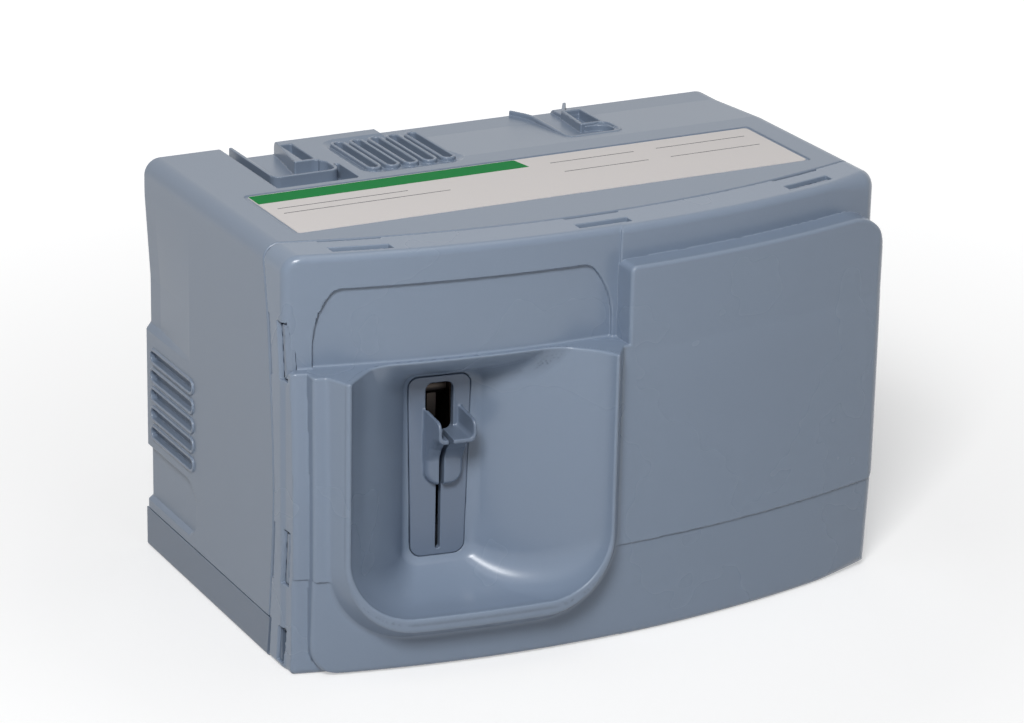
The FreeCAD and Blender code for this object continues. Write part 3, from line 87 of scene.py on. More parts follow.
def round_join(a: Array, b: Array, radius: float) -> Array:
    """Union of two fields with a fillet of the given radius.

    Args:
        a: First field.
        b: Second field.
        radius: Fillet radius in mm.

    Returns:
        The field of the union.
    """
    u = np.maximum(radius - a, 0)
    v = np.maximum(radius - b, 0)
    return np.maximum(np.minimum(a, b), radius) - np.sqrt(u * u + v * v)


def round_cut(a: Array, b: Array, radius: float) -> Array:
    """Field a less field b, with a rounded edge round the cut."""
    return round_meet(a, -b, radius)


def band(value: Array, low: float, high: float) -> Array:
    """Distance to the slab between two values."""
    return np.abs(value - (low + high) / 2) - (high - low) / 2


def closest(fields: Iterable[Array]) -> Array:
    """Union of several fields."""
    return functools.reduce(np.minimum, fields)


def plane_box(u: Array, v: Array, low: Sequence[float], high: Sequence[float], radius: float) -> Array:
    """Distance to a flat rectangle with rounded corners in any two coordinates."""
    return round_meet(band(u, low[0], high[0]), band(v, low[1], high[1]), radius)


def segment(u: Array, v: Array, start: Sequence[float], end: Sequence[float]) -> Array:
    """Distance from a point of a plane to a straight run.

    Args:
        u: First coordinate in mm.
        v: Second coordinate in mm.
        start: Start of the run.
        end: End of the run.

    Returns:
        Distance in mm.
    """
    du, dv = end[0] - start[0], end[1] - start[1]
    share = np.clip(((u - start[0]) * du + (v - start[1]) * dv) / (du * du + dv * dv), 0, 1)
    return np.hypot(u - start[0] - du * share, v - start[1] - dv * share)


def path_field(u: Array, v: Array, points: Sequence[Sequence[float]]) -> Array:
    """Distance to the line through the points, in any two coordinates.

    Args:
        u: First coordinate in mm.
        v: Second coordinate in mm.
        points: Points of the line.

    Returns:
        Distance in mm.
    """
    total = segment(u, v, points[0], points[1])
    for start, end in zip(points[1:-1], points[2:]):
        total = np.minimum(total, segment(u, v, start, end))
    return total


def rounded_path(points: Sequence[Sequence[float]], radius: float, steps: int = 5) -> List[Tuple[float, float]]:
    """Points of a line with its corners turned into arcs.

    Args:
        points: Corners of the line.
        radius: Arc radius at each corner.
        steps: Runs in each arc.

    Returns:
        The points of the rounded line.
    """
    made = [tuple(points[0])]
    for before, corner, after in zip(points[:-2], points[1:-1], points[2:]):
        a = np.subtract(before, corner)
        b = np.subtract(after, corner)
        run = min(radius, float(np.hypot(*a)) / 2, float(np.hypot(*b)) / 2)
        a = a / np.hypot(*a) * run
        b = b / np.hypot(*b) * run
        for step in range(steps + 1):
            t = step / steps
            made.append(tuple(np.add(corner, a * (1 - t) ** 2 + b * t ** 2)))
    made.append(tuple(points[-1]))
    return made


class Curve:
    """Smooth curve through a few stations, read at any place between them."""
    samples: int = 600

    def __init__(self, stations: Sequence[Tuple[float, float]]) -> None:
        """Draws a natural cubic through the stations.

        Args:
            stations: Pairs of place and value, in rising order of place.
        """
        at, value = (np.array(column, float) for column in zip(*stations))
        count = len(at)
        step = np.diff(at)
        system = np.eye(count)
        right = np.zeros(count)
        for i in range(1, count - 1):
            system[i, i - 1:i + 2] = step[i - 1], 2 * (step[i - 1] + step[i]), step[i]
            right[i] = 6 * ((value[i + 1] - value[i]) / step[i] - (value[i] - value[i - 1]) / step[i - 1])
        bend = np.linalg.solve(system, right)
        self.places = np.linspace(at[0], at[-1], self.samples)
        i = np.clip(np.searchsorted(at, self.places, side="right") - 1, 0, count - 2)
        h = step[i]
        a = (at[i + 1] - self.places) / h
        b = (self.places - at[i]) / h
        self.values = (a * value[i] + b * value[i + 1]
                       + ((a ** 3 - a) * bend[i] + (b ** 3 - b) * bend[i + 1]) * h * h / 6)

    def __call__(self, places: Array) -> Array:
        """Values of the curve at the places, held flat beyond its ends."""
        return np.interp(places, self.places, self.values)


@dataclass(frozen=True)
class Lines:
    """Grid lines along one axis, fine where they have to be."""
    low: float
    high: float
    coarse: float
    fine: Tuple[Tuple[float, float, float], ...] = ()
    growth: float = 0.3

    def places(self) -> Array:
        """Places of the lines, from just below low to just above high.

        Returns:
            Places in mm, in rising order.
        """
        made = [self.low]
        while made[-1] < self.high:
            here = made[-1]
            step = self.coarse
            for start, end, fine in self.fine:
                away = max(start - here, here - end, 0.0)
                step = min(step, fine + away * self.growth)
            made.append(here + step)
        return np.array(made)


FieldCall = Callable[[Array, Array, Array], Array]


class Mesher:
    """Turns a distance field into a mesh of quads."""
    block_cells: int = 1500000
    move_reach: float = 0.05
    normal_reach: float = 0.03
    least_slope: float = 0.2
    longest_move: float = 0.8
    tiny: float = 1e-9

    def __init__(self, field_call: FieldCall, lines: Sequence[Lines], steps: int = 2) -> None:
        """Keeps the field and its grid.

        Args:
            field_call: Field of x, y, z in mm, negative inside.
            lines: Grid lines of the three axes.
            steps: Times each corner is moved onto the surface.
        """
        self.field_call = field_call
        self.axes = [line.places() for line in lines]
        self.steps = steps

    def sample(self) -> Array:
        """Field at every crossing of the grid lines.

        Returns:
            Values on the whole grid.
        """
        xs, ys, zs = self.axes
        values = np.empty((len(xs), len(ys), len(zs)), np.float32)
        block = max(1, self.block_cells // (len(ys) * len(zs)))
        for start in range(0, len(xs), block):
            part = xs[start:start + block]
            values[start:start + block] = self.field_call(part[:, None, None], ys[None, :, None], zs[None, None, :])
        return values

    def corners_and_faces(self) -> Tuple[Array, Array]:
        """One corner in each crossed cell, and one quad round each crossed grid edge.

        Returns:
            Corners in mm and the corner numbers of each quad.
        """
        values = self.sample()
        inside = values < 0
        shape = np.array(values.shape)
        cell_shape = tuple(shape - 1)
        cells: List[Array] = []
        points: List[Array] = []
        for axis in range(3):
            first = [slice(None)] * 3
            second = [slice(None)] * 3
            first[axis] = slice(None, -1)
            second[axis] = slice(1, None)
            crossed = np.array(np.nonzero(inside[tuple(first)] != inside[tuple(second)]))
            one, two = (axis + 1) % 3, (axis + 2) % 3
            kept = ((crossed[one] > 0) & (crossed[one] < shape[one] - 1)
                    & (crossed[two] > 0) & (crossed[two] < shape[two] - 1))
            crossed = crossed[:, kept]
            ahead = crossed.copy()
            ahead[axis] += 1
            v0 = values[tuple(crossed)].astype(float)
            v1 = values[tuple(ahead)].astype(float)
            share = v0 / (v0 - v1)
            point = np.stack([self.axes[k][crossed[k]] for k in range(3)], 1)
            span = self.axes[axis]
            point[:, axis] += share * (span[ahead[axis]] - span[crossed[axis]])
            around = []
            for off_one, off_two in ((0, 0), (-1, 0), (-1, -1), (0, -1)):
                cell = crossed.copy()
                cell[one] += off_one
                cell[two] += off_two
                around.append(np.ravel_multi_index(tuple(cell), cell_shape))
            quad = np.stack(around, 1)
            turned = v0 > 0
            quad[turned] = quad[turned][:, ::-1]
            cells.append(quad)
            points.append(np.repeat(point, 4, axis=0))
        quads = np.concatenate(cells)
        found, place = np.unique(quads.ravel(), return_inverse=True)
        place = place.ravel()
        every = np.concatenate(points)
        count = np.bincount(place, minlength=len(found))
        corners = np.stack([np.bincount(place, every[:, k], len(found)) / count for k in range(3)], 1)
        return corners, place.reshape(-1, 4)

    def slopes(self, corners: Array, reach: float) -> Array:
        """Gradient of the field at the corners.

        Args:
            corners: Corners of the mesh in mm.
            reach: Step to each side in mm.

        Returns:
            One gradient for each corner.
        """
        made = []
        for axis in range(3):
            shift = np.zeros(3)
            shift[axis] = reach
            up = self.field_call(*(corners + shift).T)
            down = self.field_call(*(corners - shift).T)
            made.append((up - down) / (2 * reach))
        return np.stack(made, 1)

    def build(self, name: str) -> bpy.types.Object:
        """Makes the mesh object.

        Args:
            name: Name of the object.

        Returns:
            The object, in metres, with normals from the field.
        """
        corners, quads = self.corners_and_faces()
        for _ in range(self.steps):
            value = self.field_call(*corners.T)
            slope = self.slopes(corners, self.move_reach)
            size = np.maximum((slope ** 2).sum(1), self.least_slope)
            move = slope * (value / size)[:, None]
            length = np.maximum(np.linalg.norm(move, axis=1), self.tiny)
            corners = corners - move * np.minimum(1.0, self.longest_move / length)[:, None]
        normals = self.slopes(corners, self.normal_reach)
        normals /= np.maximum(np.linalg.norm(normals, axis=1), 1e-6)[:, None]
        made = mesh_object(name, corners * MM, quads)
        made.data.normals_split_custom_set_from_vertices(normals.tolist())
        LOG.info("%s: %d faces on a grid of %s", name, len(quads), [len(axis) for axis in self.axes])
        return made


def mesh_object(name: str, corners: Array, faces: Array) -> bpy.types.Object:
    """Makes a smooth shaded mesh object.

    Args:
        name: Name of the object and its mesh.
        corners: Corners in metres.
        faces: Corner numbers of each face, all with the same count.

    Returns:
        The linked object.
    """
    mesh = bpy.data.meshes.new(name)
    count, sides = faces.shape
    mesh.vertices.add(len(corners))
    mesh.vertices.foreach_set("co", np.ascontiguousarray(corners, np.float32).ravel())
    mesh.loops.add(count * sides)
    mesh.loops.foreach_set("vertex_index", np.ascontiguousarray(faces, np.int32).ravel())
    mesh.polygons.add(count)
    mesh.polygons.foreach_set("loop_start", np.arange(0, count * sides, sides, dtype=np.int32))
    mesh.polygons.foreach_set("use_smooth", np.ones(count, bool))
    mesh.update(calc_edges=True)
    mesh.validate()
    made = bpy.data.objects.new(name, mesh)
    bpy.context.scene.collection.objects.link(made)
    return made


# ---------------------------------------------------------------- sizes shared by the skins

@dataclass(frozen=True)
class Unit:
    """Outer sizes of the whole unit in mm, in the part's frame."""
    half_width: float = 150.0
    height: float = 193.0
    rear: float = 100.0
    centre: float = 436.0
    shelf: float = 142.0
    wall: float = 2.5
    side_round: float = 8.0
    foot_round: float = 3.0
    seam_gap: float = 1.0
    scoop_turn: float = math.radians(7.6)
    window_half: float = 13.0
    windows: Tuple[float, float, float] = (-114.0, -2.3, 111.0)
    side_windows: Tuple[Tuple[float, float], ...] = ((137.0, 163.0), (41.5, 67.5), (3.0, 20.0))

    def radius(self, x: Array, y: Array) -> Array:
        """Distance from the plan centre, about which the front is bowed."""
        return np.hypot(x, self.centre - y)

    def across_scoop(self, x: Array, y: Array) -> Array:
        """Distance from the middle plane of the scoop."""
        return x * math.cos(self.scoop_turn) - (y - self.centre) * math.sin(self.scoop_turn)

    def seam(self, z: Array) -> Array:
        """Radius of the seam between cover and housing at a height."""
        return np.interp(z, SEAM_AT, SEAM_VALUES)

    def ends(self, x: Array, z: Array) -> Array:
        """Distance to the rounded section of the whole unit.

        Args:
            x: Across, in mm.
            z: Upwards, in mm.

        Returns:
            The field, negative inside.
        """
        side = np.abs(x) - self.half_width
        top = round_meet(side, z - self.height, self.side_round)
        return round_meet(top, -z, self.foot_round)


SEAM_CURVE = Curve((
    (-1.0, 496.9), (0.0, 497.0), (40.0, 501.3), (80.0, 503.8), (132.0, 501.2), (193.0, 492.8), (196.0, 492.1)))
SEAM_AT, SEAM_VALUES = SEAM_CURVE.places, SEAM_CURVE.values


# ---------------------------------------------------------------- front cover

@dataclass
class FrontCover:
    """Bowed front cover with its raised panel, sunk upper panel and sampling scoop."""
    unit: Unit
    face: float = 514.0
    face_right: float = 515.0
    rim: float = 536.0
    panel_left: float = -142.5
    panel_split: float = 1.5
    panel_top: float = 178.0
    crease: float = 47.0
    rim_half: float = 62.0
    rim_low: float = 23.5
    flank: float = 0.62
    inlay: float = 512.0
    cavity_depth: float = 44.5
    crease_round: float = 0.4
    panel_foot_corner: float = 15.0
    panel_foot_edge: float = 1.4
    panel_corner: float = 24.0
    panel_inner_corner: float = 3.0
    panel_edge: float = 1.6
    rim_corner: float = 32.0
    rim_edge: float = 0.7
    boss_share: float = 0.85
    boss_fillet: float = 1.2
    cavity_corner_level: float = 90.0
    cavity_share: float = 0.75
    cavity_back_round: float = 3.0
    cavity_edge: float = 1.3
    face_split: float = 2.0
    inlay_edge: float = 0.6
    inlay_left: Tuple[float, float, float] = (-97.5, 152.0, 40.0)
    inlay_right: Tuple[float, float, float] = (-39.0, 150.0, 38.0)
    inlay_top: float = 177.5
    inlay_top_round: float = 2.5
    inlay_below_shelf: float = 6.0
    strip_drop: float = 0.8
    strip_drop_run: float = 0.7
    shelf_edge: float = 0.8
    shelf_fillet: float = 0.9
    end_round: Tuple[float, float] = (3.4, 8.4)
    end_round_from: Tuple[float, float] = (118.0, 150.0)
    top_window: Tuple[float, float] = (10.5, 16.0)
    top_window_floor: float = 189.8
    side_window: Tuple[float, float] = (9.8, 15.2)
    side_window_depth: float = 3.2
    slit_width: float = 2.4
    slit_extra: float = 0.6
    seam_edge: float = 0.45
    bowl_wall_share: float = 0.8
    bowl_fillet: float = 0.5
    plate_fit: float = 0.25
    plate_seat: float = 496.0
    cut_edge: float = 0.3
    step: float = 0.62
    quick_step: float = 0.75

    def __post_init__(self) -> None:
        """Draws the curves of the panel and of the scoop."""
        self.strip = Curve(((-1, 521), (0, 521), (80, 522.5), (142, 519.5), (150, 519)))
        self.panel_low = Curve(((-1, 523.4), (0, 523.5), (24, 525.0), (47, 526.1), (60, 526.2)))
        self.panel_high = Curve(((30, 527), (47, 527), (112, 526.6), (142, 526.0), (178, 523.6), (190, 522.6)))
        share = (-0.12, 0.0, 0.14, 0.30, 0.46, 0.62, 0.80, 1.0, 1.1)
        self.left = Curve(tuple(zip(share, (61.8, 60.8, 56.6, 50.6, 43.2, 36.0, 28.8, 22.8, 20.0))))
        self.right = Curve(tuple(zip(share, (62.6, 61.2, 57.4, 49.8, 40.4, 30.4, 19.4, 9.4, 5.0))))
        self.low = Curve(tuple(zip(share, (30.9, 29.9, 28.3, 27.3, 27.3, 28.9, 32.6, 38.6, 42.0))))
        self.top = Curve(tuple(zip(share, (200.0, 190.0, 176.0, 157.0, 141.2, 134.0, 130.2, 127.8, 127.2))))
        self.corner = Curve(tuple(zip(share, (31.0, 30.0, 28.0, 24.0, 19.5, 15.0, 10.5, 6.5, 5.0))))
        self.top_corner = Curve(tuple(zip(share, (4.0, 4.0, 5.0, 6.0, 8.0, 9.0, 8.0, 6.0, 5.0))))

    def panel(self, x: Array, z: Array, radius: Array) -> Tuple[Array, Array]:
        """Lower and upper part of the raised panel.

        Args:
            x: Across, in mm.
            z: Upwards, in mm.
            radius: Distance from the plan centre in mm.

        Returns:
            Fields of the part below the shelf and of the whole panel.
        """
        high = round_meet(radius - self.panel_high(z), self.crease - z, self.crease_round)
        front = np.minimum(radius - self.panel_low(np.minimum(z, self.crease)), high)
        lower = round_meet(self.panel_left - x, 0.0 * x - z, self.panel_foot_corner)
        low = round_meet(front, lower, self.panel_foot_edge)
        corner = round_meet(z - self.panel_top, x - self.unit.half_width, self.panel_corner)
        upper = round_meet(self.panel_split - x, corner, self.panel_inner_corner)
        return low, round_meet(front, upper, self.panel_edge)

    def boss(self, z: Array, radius: Array, across: Array) -> Array:
        """Flared frame of the scoop.

        Args:
            z: Upwards, in mm.
            radius: Distance from the plan centre in mm.
            across: Distance across the scoop in mm.

        Returns:
            The field, negative inside.
        """
        grow = (self.rim - radius) * self.flank
        side = np.abs(across) - self.rim_half - grow
        around = round_meet(side, self.rim_low - grow - z, self.rim_corner + grow)
        return round_meet(around * self.boss_share, radius - self.rim, self.rim_edge)

    def cavity(self, z: Array, radius: Array, across: Array) -> Array:
        """Hollow of the scoop, negative in the hollow.

        Args:
            z: Upwards, in mm.
            radius: Distance from the plan centre in mm.
            across: Distance across the scoop in mm.

        Returns:
            The field, negative inside.
        """
        t = (self.rim - radius) / self.cavity_depth
        corner = np.where(z > self.cavity_corner_level, self.top_corner(t), self.corner(t))
        side = band(across, -self.left(t), self.right(t))
        around = round_meet(side, band(z, self.low(t), self.top(t)), corner)
        return round_meet(around * self.cavity_share, self.rim - self.cavity_depth - radius, self.cavity_back_round)

    def outer(self, x: Array, z: Array, radius: Array, across: Array) -> Array:
        """Outer form without openings.

        Args:
            x: Across, in mm.
            z: Upwards, in mm.
            radius: Distance from the plan centre in mm.
            across: Distance across the scoop in mm.

        Returns:
            The field, negative inside.
        """
        unit = self.unit
        right = round_meet(radius - self.face_right, self.face_split - x, self.crease_round)
        upper = np.minimum(radius - self.face, right)
        upper = round_cut(upper, self.inlay_cut(x, z, radius), self.inlay_edge)
        panel_low, panel_high = self.panel(x, z, radius)
        strip = self.strip(z) - self.strip_drop * np.clip((self.crease - z) / self.strip_drop_run, 0, 1)
        low = np.minimum(round_meet(radius - strip, 0 * x - unit.half_width - x, 1.0), panel_low)
        low = round_join(low, self.boss(z, radius, across), self.boss_fillet)
        low = round_meet(low, z - unit.shelf, self.shelf_edge)
        body = np.minimum(round_join(upper, low, self.shelf_fillet), panel_high)
        edge = np.interp(x, self.end_round_from, self.end_round)
        return round_meet(body, unit.ends(x, z), edge)

    def inlay_cut(self, x: Array, z: Array, radius: Array) -> Array:
        """Sunk field of the upper panel, negative where it is sunk.

        Args:
            x: Across, in mm.
            z: Upwards, in mm.
            radius: Distance from the plan centre in mm.

        Returns:
            The field, negative inside.
        """
        across, level, bend = self.inlay_left
        left = np.hypot(np.minimum(x - across, 0), np.maximum(z - level, 0)) - bend
        across, level, bend = self.inlay_right
        right = np.hypot(np.maximum(x - across, 0), np.maximum(z - level, 0)) - bend
        around = round_meet(np.maximum(left, right), z - self.inlay_top, self.inlay_top_round)
        around = np.maximum(around, self.unit.shelf - self.inlay_below_shelf - z)
        return np.maximum(around, self.inlay - radius)

    def window_cuts(self, x: Array, z: Array, radius: Array) -> Array:
        """Snap windows and the dark slits at the seam.

        Args:
            x: Across, in mm.
            z: Upwards, in mm.
            radius: Distance from the plan centre in mm.

        Returns:
            The field, negative inside.
        """
        unit = self.unit
        ahead = radius - unit.seam(z)
        across = closest(band(x, middle - unit.window_half, middle + unit.window_half) for middle in unit.windows)
        up = closest(band(z, low, high) for low, high in unit.side_windows)
        made = []
        for side, reach, depth in ((across, self.top_window, self.top_window_floor - z),
                                   (up, self.side_window, unit.half_width - self.side_window_depth - np.abs(x))):
            window = np.maximum(side, band(ahead, *reach))
            slit = np.maximum(side - self.slit_extra, ahead - self.slit_width)
            made.append(np.maximum(np.minimum(window, slit), depth))
        return closest(made)

    def field(self, x: Array, y: Array, z: Array) -> Array:
        """Distance to the whole cover.

        Args:
            x, y, z: Place in mm.

        Returns:
            The field, negative inside.
        """
        unit = self.unit
        radius = unit.radius(x, y)
        across = unit.across_scoop(x, y)
        outer = self.outer(x, z, radius, across)
        shell = np.maximum(outer, -(outer + unit.wall))
        shell = round_meet(shell, unit.seam(z) + unit.seam_gap - radius, self.seam_edge)
        hollow = self.cavity(z, radius, across)
        bowl = np.maximum(outer, hollow - unit.wall * self.bowl_wall_share)
        shell = round_join(shell, bowl, self.bowl_fillet)
        shell = round_cut(shell, hollow, self.cavity_edge)
        hole = PlateShape(unit).outline(across, z, self.plate_fit)
        shell = round_cut(shell, np.maximum(hole, radius - self.plate_seat), self.cut_edge)
        return round_cut(shell, self.window_cuts(x, z, radius), self.cut_edge)

    def build(self, finish: bpy.types.Material) -> bpy.types.Object:
        """Meshes the cover and lets it stand for its CAD node.

        Args:
            finish: Material of the piece.

        Returns:
            The skin that stands for front_cover.
        """
        fine = self.step
        mid = fine * 1.55
        x_lines = Lines(-152.5, 153.0, 5.0, (
            (-150.5, -146.5, fine), (-143.5, -141.5, fine), (-141.0, 1.0, mid), (-133.0, -118.0, fine),
            (-22.0, -6.0, fine), (0.5, 3.0, fine), (9.5, 12.0, fine), (-39.0, -36.0, fine), (97.0, 99.5, fine),
            (123.0, 125.5, fine), (126.0, 150.5, mid * 1.3), (147.0, 150.5, fine)))
        y_lines = Lines(-101.5, -30.5, 3.0, ((-100.5, -58.5, mid), (-58.5, -32.0, fine)))
        z_lines = Lines(-2.0, 195.0, 4.0, (
            (-0.5, 3.0, fine), (3.0, 140.0, mid * 1.25), (15.0, 46.0, mid), (46.0, 48.0, fine * 0.8),
            (40.5, 42.0, fine), (66.5, 68.0, fine), (136.5, 143.0, fine), (150.0, 172.0, mid * 1.6),
            (162.5, 163.5, fine), (174.0, 179.0, fine), (188.5, 193.5, fine)))
        made = Mesher(self.field, (x_lines, y_lines, z_lines)).build("front_cover_skin")
        made.data.materials.append(finish)
        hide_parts("front_cover")
        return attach(made, "cartridge")


# ---------------------------------------------------------------- sampler plate

@dataclass
class PlateShape:
    """Outline of the sampler plate across the scoop."""
    unit: Unit
    middle: float = -7.0
    low: float = 40.0
    top: float = 125.7
    low_half: float = 12.5
    top_half: float = 14.6
    corner: float = 5.0

    def outline(self, across: Array, z: Array, grow: float) -> Array:
        """Distance to the outline, grown by a clearance.

        Args:
            across: Distance across the scoop in mm.
            z: Upwards, in mm.
            grow: Clearance all round in mm.

        Returns:
            The field, negative inside.
        """
        share = np.clip((z - self.low) / (self.top - self.low), 0, 1)
        half = self.low_half + (self.top_half - self.low_half) * share
        return round_meet(np.abs(across - self.middle) - half, band(z, self.low, self.top), self.corner) - grow


@dataclass
class SamplerPlate:
    """Plate at the back of the scoop, with window, needle slit and guard."""
    unit: Unit
    front: float = 492.3
    back: float = 488.6
    window_half: float = 6.4
    window_low: float = 99.0
    window_top: float = 122.6
    slit_half: float = 1.1
    slit_low: float = 43.0
    slit_top: float = 112.0
    slit_at: float = -7.0
    slit_corner: float = 1.05
    slit_edge: float = 0.35
    window_corner: float = 3.4
    window_reach: float = 1.5
    edge: float = 0.5
    guard_fillet: float = 1.0
    guard_at: float = -5.4
    guard_lean: float = 0.09
    guard_half: float = 8.8
    guard_low: float = 75.0
    guard_top: float = 105.0
    guard_corner: float = 6.5
    guard_depth: float = 4.4
    guard_crown: float = 1.1
    guard_crown_half: float = 9.0
    guard_edge: float = 2.2
    trough_half: float = 8.9
    trough_wall: float = 1.6
    trough_floor: float = 101.4
    trough_rim: float = 110.8
    trough_drop: float = 1.2
    trough_run: float = 15.0
    trough_reach: float = 16.6
    trough_depths: Tuple[float, ...] = (0.0, 4.0, 7.0, 11.0, 15.0, 17.5)
    trough_levels: Tuple[float, ...] = (84.0, 88.0, 93.5, 97.4, 99.0, 99.6)
    trough_share: float = 0.85
    trough_belly: float = 3.0
    trough_bottom: float = 2.2
    trough_nose: float = 3.6
    trough_edge: float = 0.7
    trough_fillet: float = 1.2
    trough_start: float = 0.4
    root: float = 2.0
    step: float = 0.42
    quick_step: float = 0.8

    def guard(self, across: Array, z: Array, radius: Array) -> Array:
        """Guard body with the open trough on it, whose rims sweep forward.

        Args:
            across: Distance across the scoop in mm.
            z: Upwards, in mm.
            radius: Distance from the plan centre in mm.

        Returns:
            The field, negative inside.
        """
        depth = radius - self.front
        u = across - self.guard_at - self.guard_lean * np.maximum(depth, 0)
        body = plane_box(u, z, (-self.guard_half, self.guard_low), (self.guard_half, self.guard_top), self.guard_corner)
        crown = (u / self.guard_crown_half) ** 2 * self.guard_crown
        body = round_meet(body, depth - self.guard_depth + crown, self.guard_edge)
        under = np.interp(depth, self.trough_depths, self.trough_levels)
        rim = self.trough_rim - self.trough_drop * np.clip(depth / self.trough_run, 0, 1)
        sides = round_meet(np.abs(u) - self.trough_half, (under - z) * self.trough_share, self.trough_belly)
        front = round_meet(z - rim, depth - self.trough_reach, self.trough_nose)
        trough = round_meet(sides, front, self.trough_edge)
        inner = round_meet(np.abs(u) - self.trough_half + self.trough_wall, self.trough_floor - z, self.trough_bottom)
        shape = round_join(body, trough, self.trough_fillet)
        shape = round_cut(shape, np.maximum(inner, -depth - self.trough_start), self.trough_edge)
        return np.maximum(shape, -depth - self.root)

    def field(self, x: Array, y: Array, z: Array) -> Array:
        """Distance to the plate with its guard.

        Args:
            x, y, z: Place in mm.

        Returns:
            The field, negative inside.
        """
        unit = self.unit
        radius = unit.radius(x, y)
        across = unit.across_scoop(x, y)
        outline = PlateShape(unit).outline(across, z, 0.0)
        plate = round_meet(outline, radius - self.front, self.edge)
        plate = np.maximum(plate, self.back - radius)
        plate = round_join(plate, self.guard(across, z, radius), self.guard_fillet)
        u = across - self.slit_at
        half = self.window_half
        window = plane_box(u, z, (-half, self.window_low), (half, self.window_top), self.window_corner)
        window = np.maximum(window, radius - self.front - self.window_reach)
        half = self.slit_half
        slit = plane_box(u, z, (-half, self.slit_low), (half, self.slit_top), self.slit_corner)
        plate = round_cut(plate, window, self.edge)
        return round_cut(plate, slit, self.slit_edge)

    def build(self, finish: bpy.types.Material) -> bpy.types.Object:
        """Meshes the plate and lets it stand for its CAD node.

        Args:
            finish: Material of the piece.

        Returns:
            The skin that stands for sampler_plate.
        """
        low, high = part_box("sampler_plate")
        fine = self.step
        ends = [(low[k] / MM - 2, high[k] / MM + 2) for k in range(3)]
        lines = [Lines(start, end, fine * 2.2, ((start, end, fine),)) for start, end in ends[:2]]
        lines.append(Lines(ends[2][0], ends[2][1], 1.2, ((38.0, 45.0, fine), (72.0, 128.0, fine))))
        made = Mesher(self.field, lines).build("sampler_plate_skin")
        made.data.materials.append(finish)
        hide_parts("sampler_plate")
        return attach(made, "cartridge")


# ---------------------------------------------------------------- rear housing

@dataclass(frozen=True)
class Patch:
    """Rounded rectangle in any two coordinates, in mm."""
    low: Tuple[float, float]
    high: Tuple[float, float]
    corner: float

    def over(self, u: Array, v: Array) -> Array:
        """Distance to the patch."""
        return plane_box(u, v, self.low, self.high, self.corner)


@dataclass(frozen=True)
class Track:
    """Line of a given half width, with its corners turned into arcs."""
    points: Tuple[Tuple[float, float], ...]
    half: float
    bend: float = 0.0
    steps: int = 5

    def over(self, u: Array, v: Array) -> Array:
        """Distance to the edge of the line."""
        points = rounded_path(self.points, self.bend, self.steps) if self.bend > 0 else self.points
        return path_field(u, v, points) - self.half


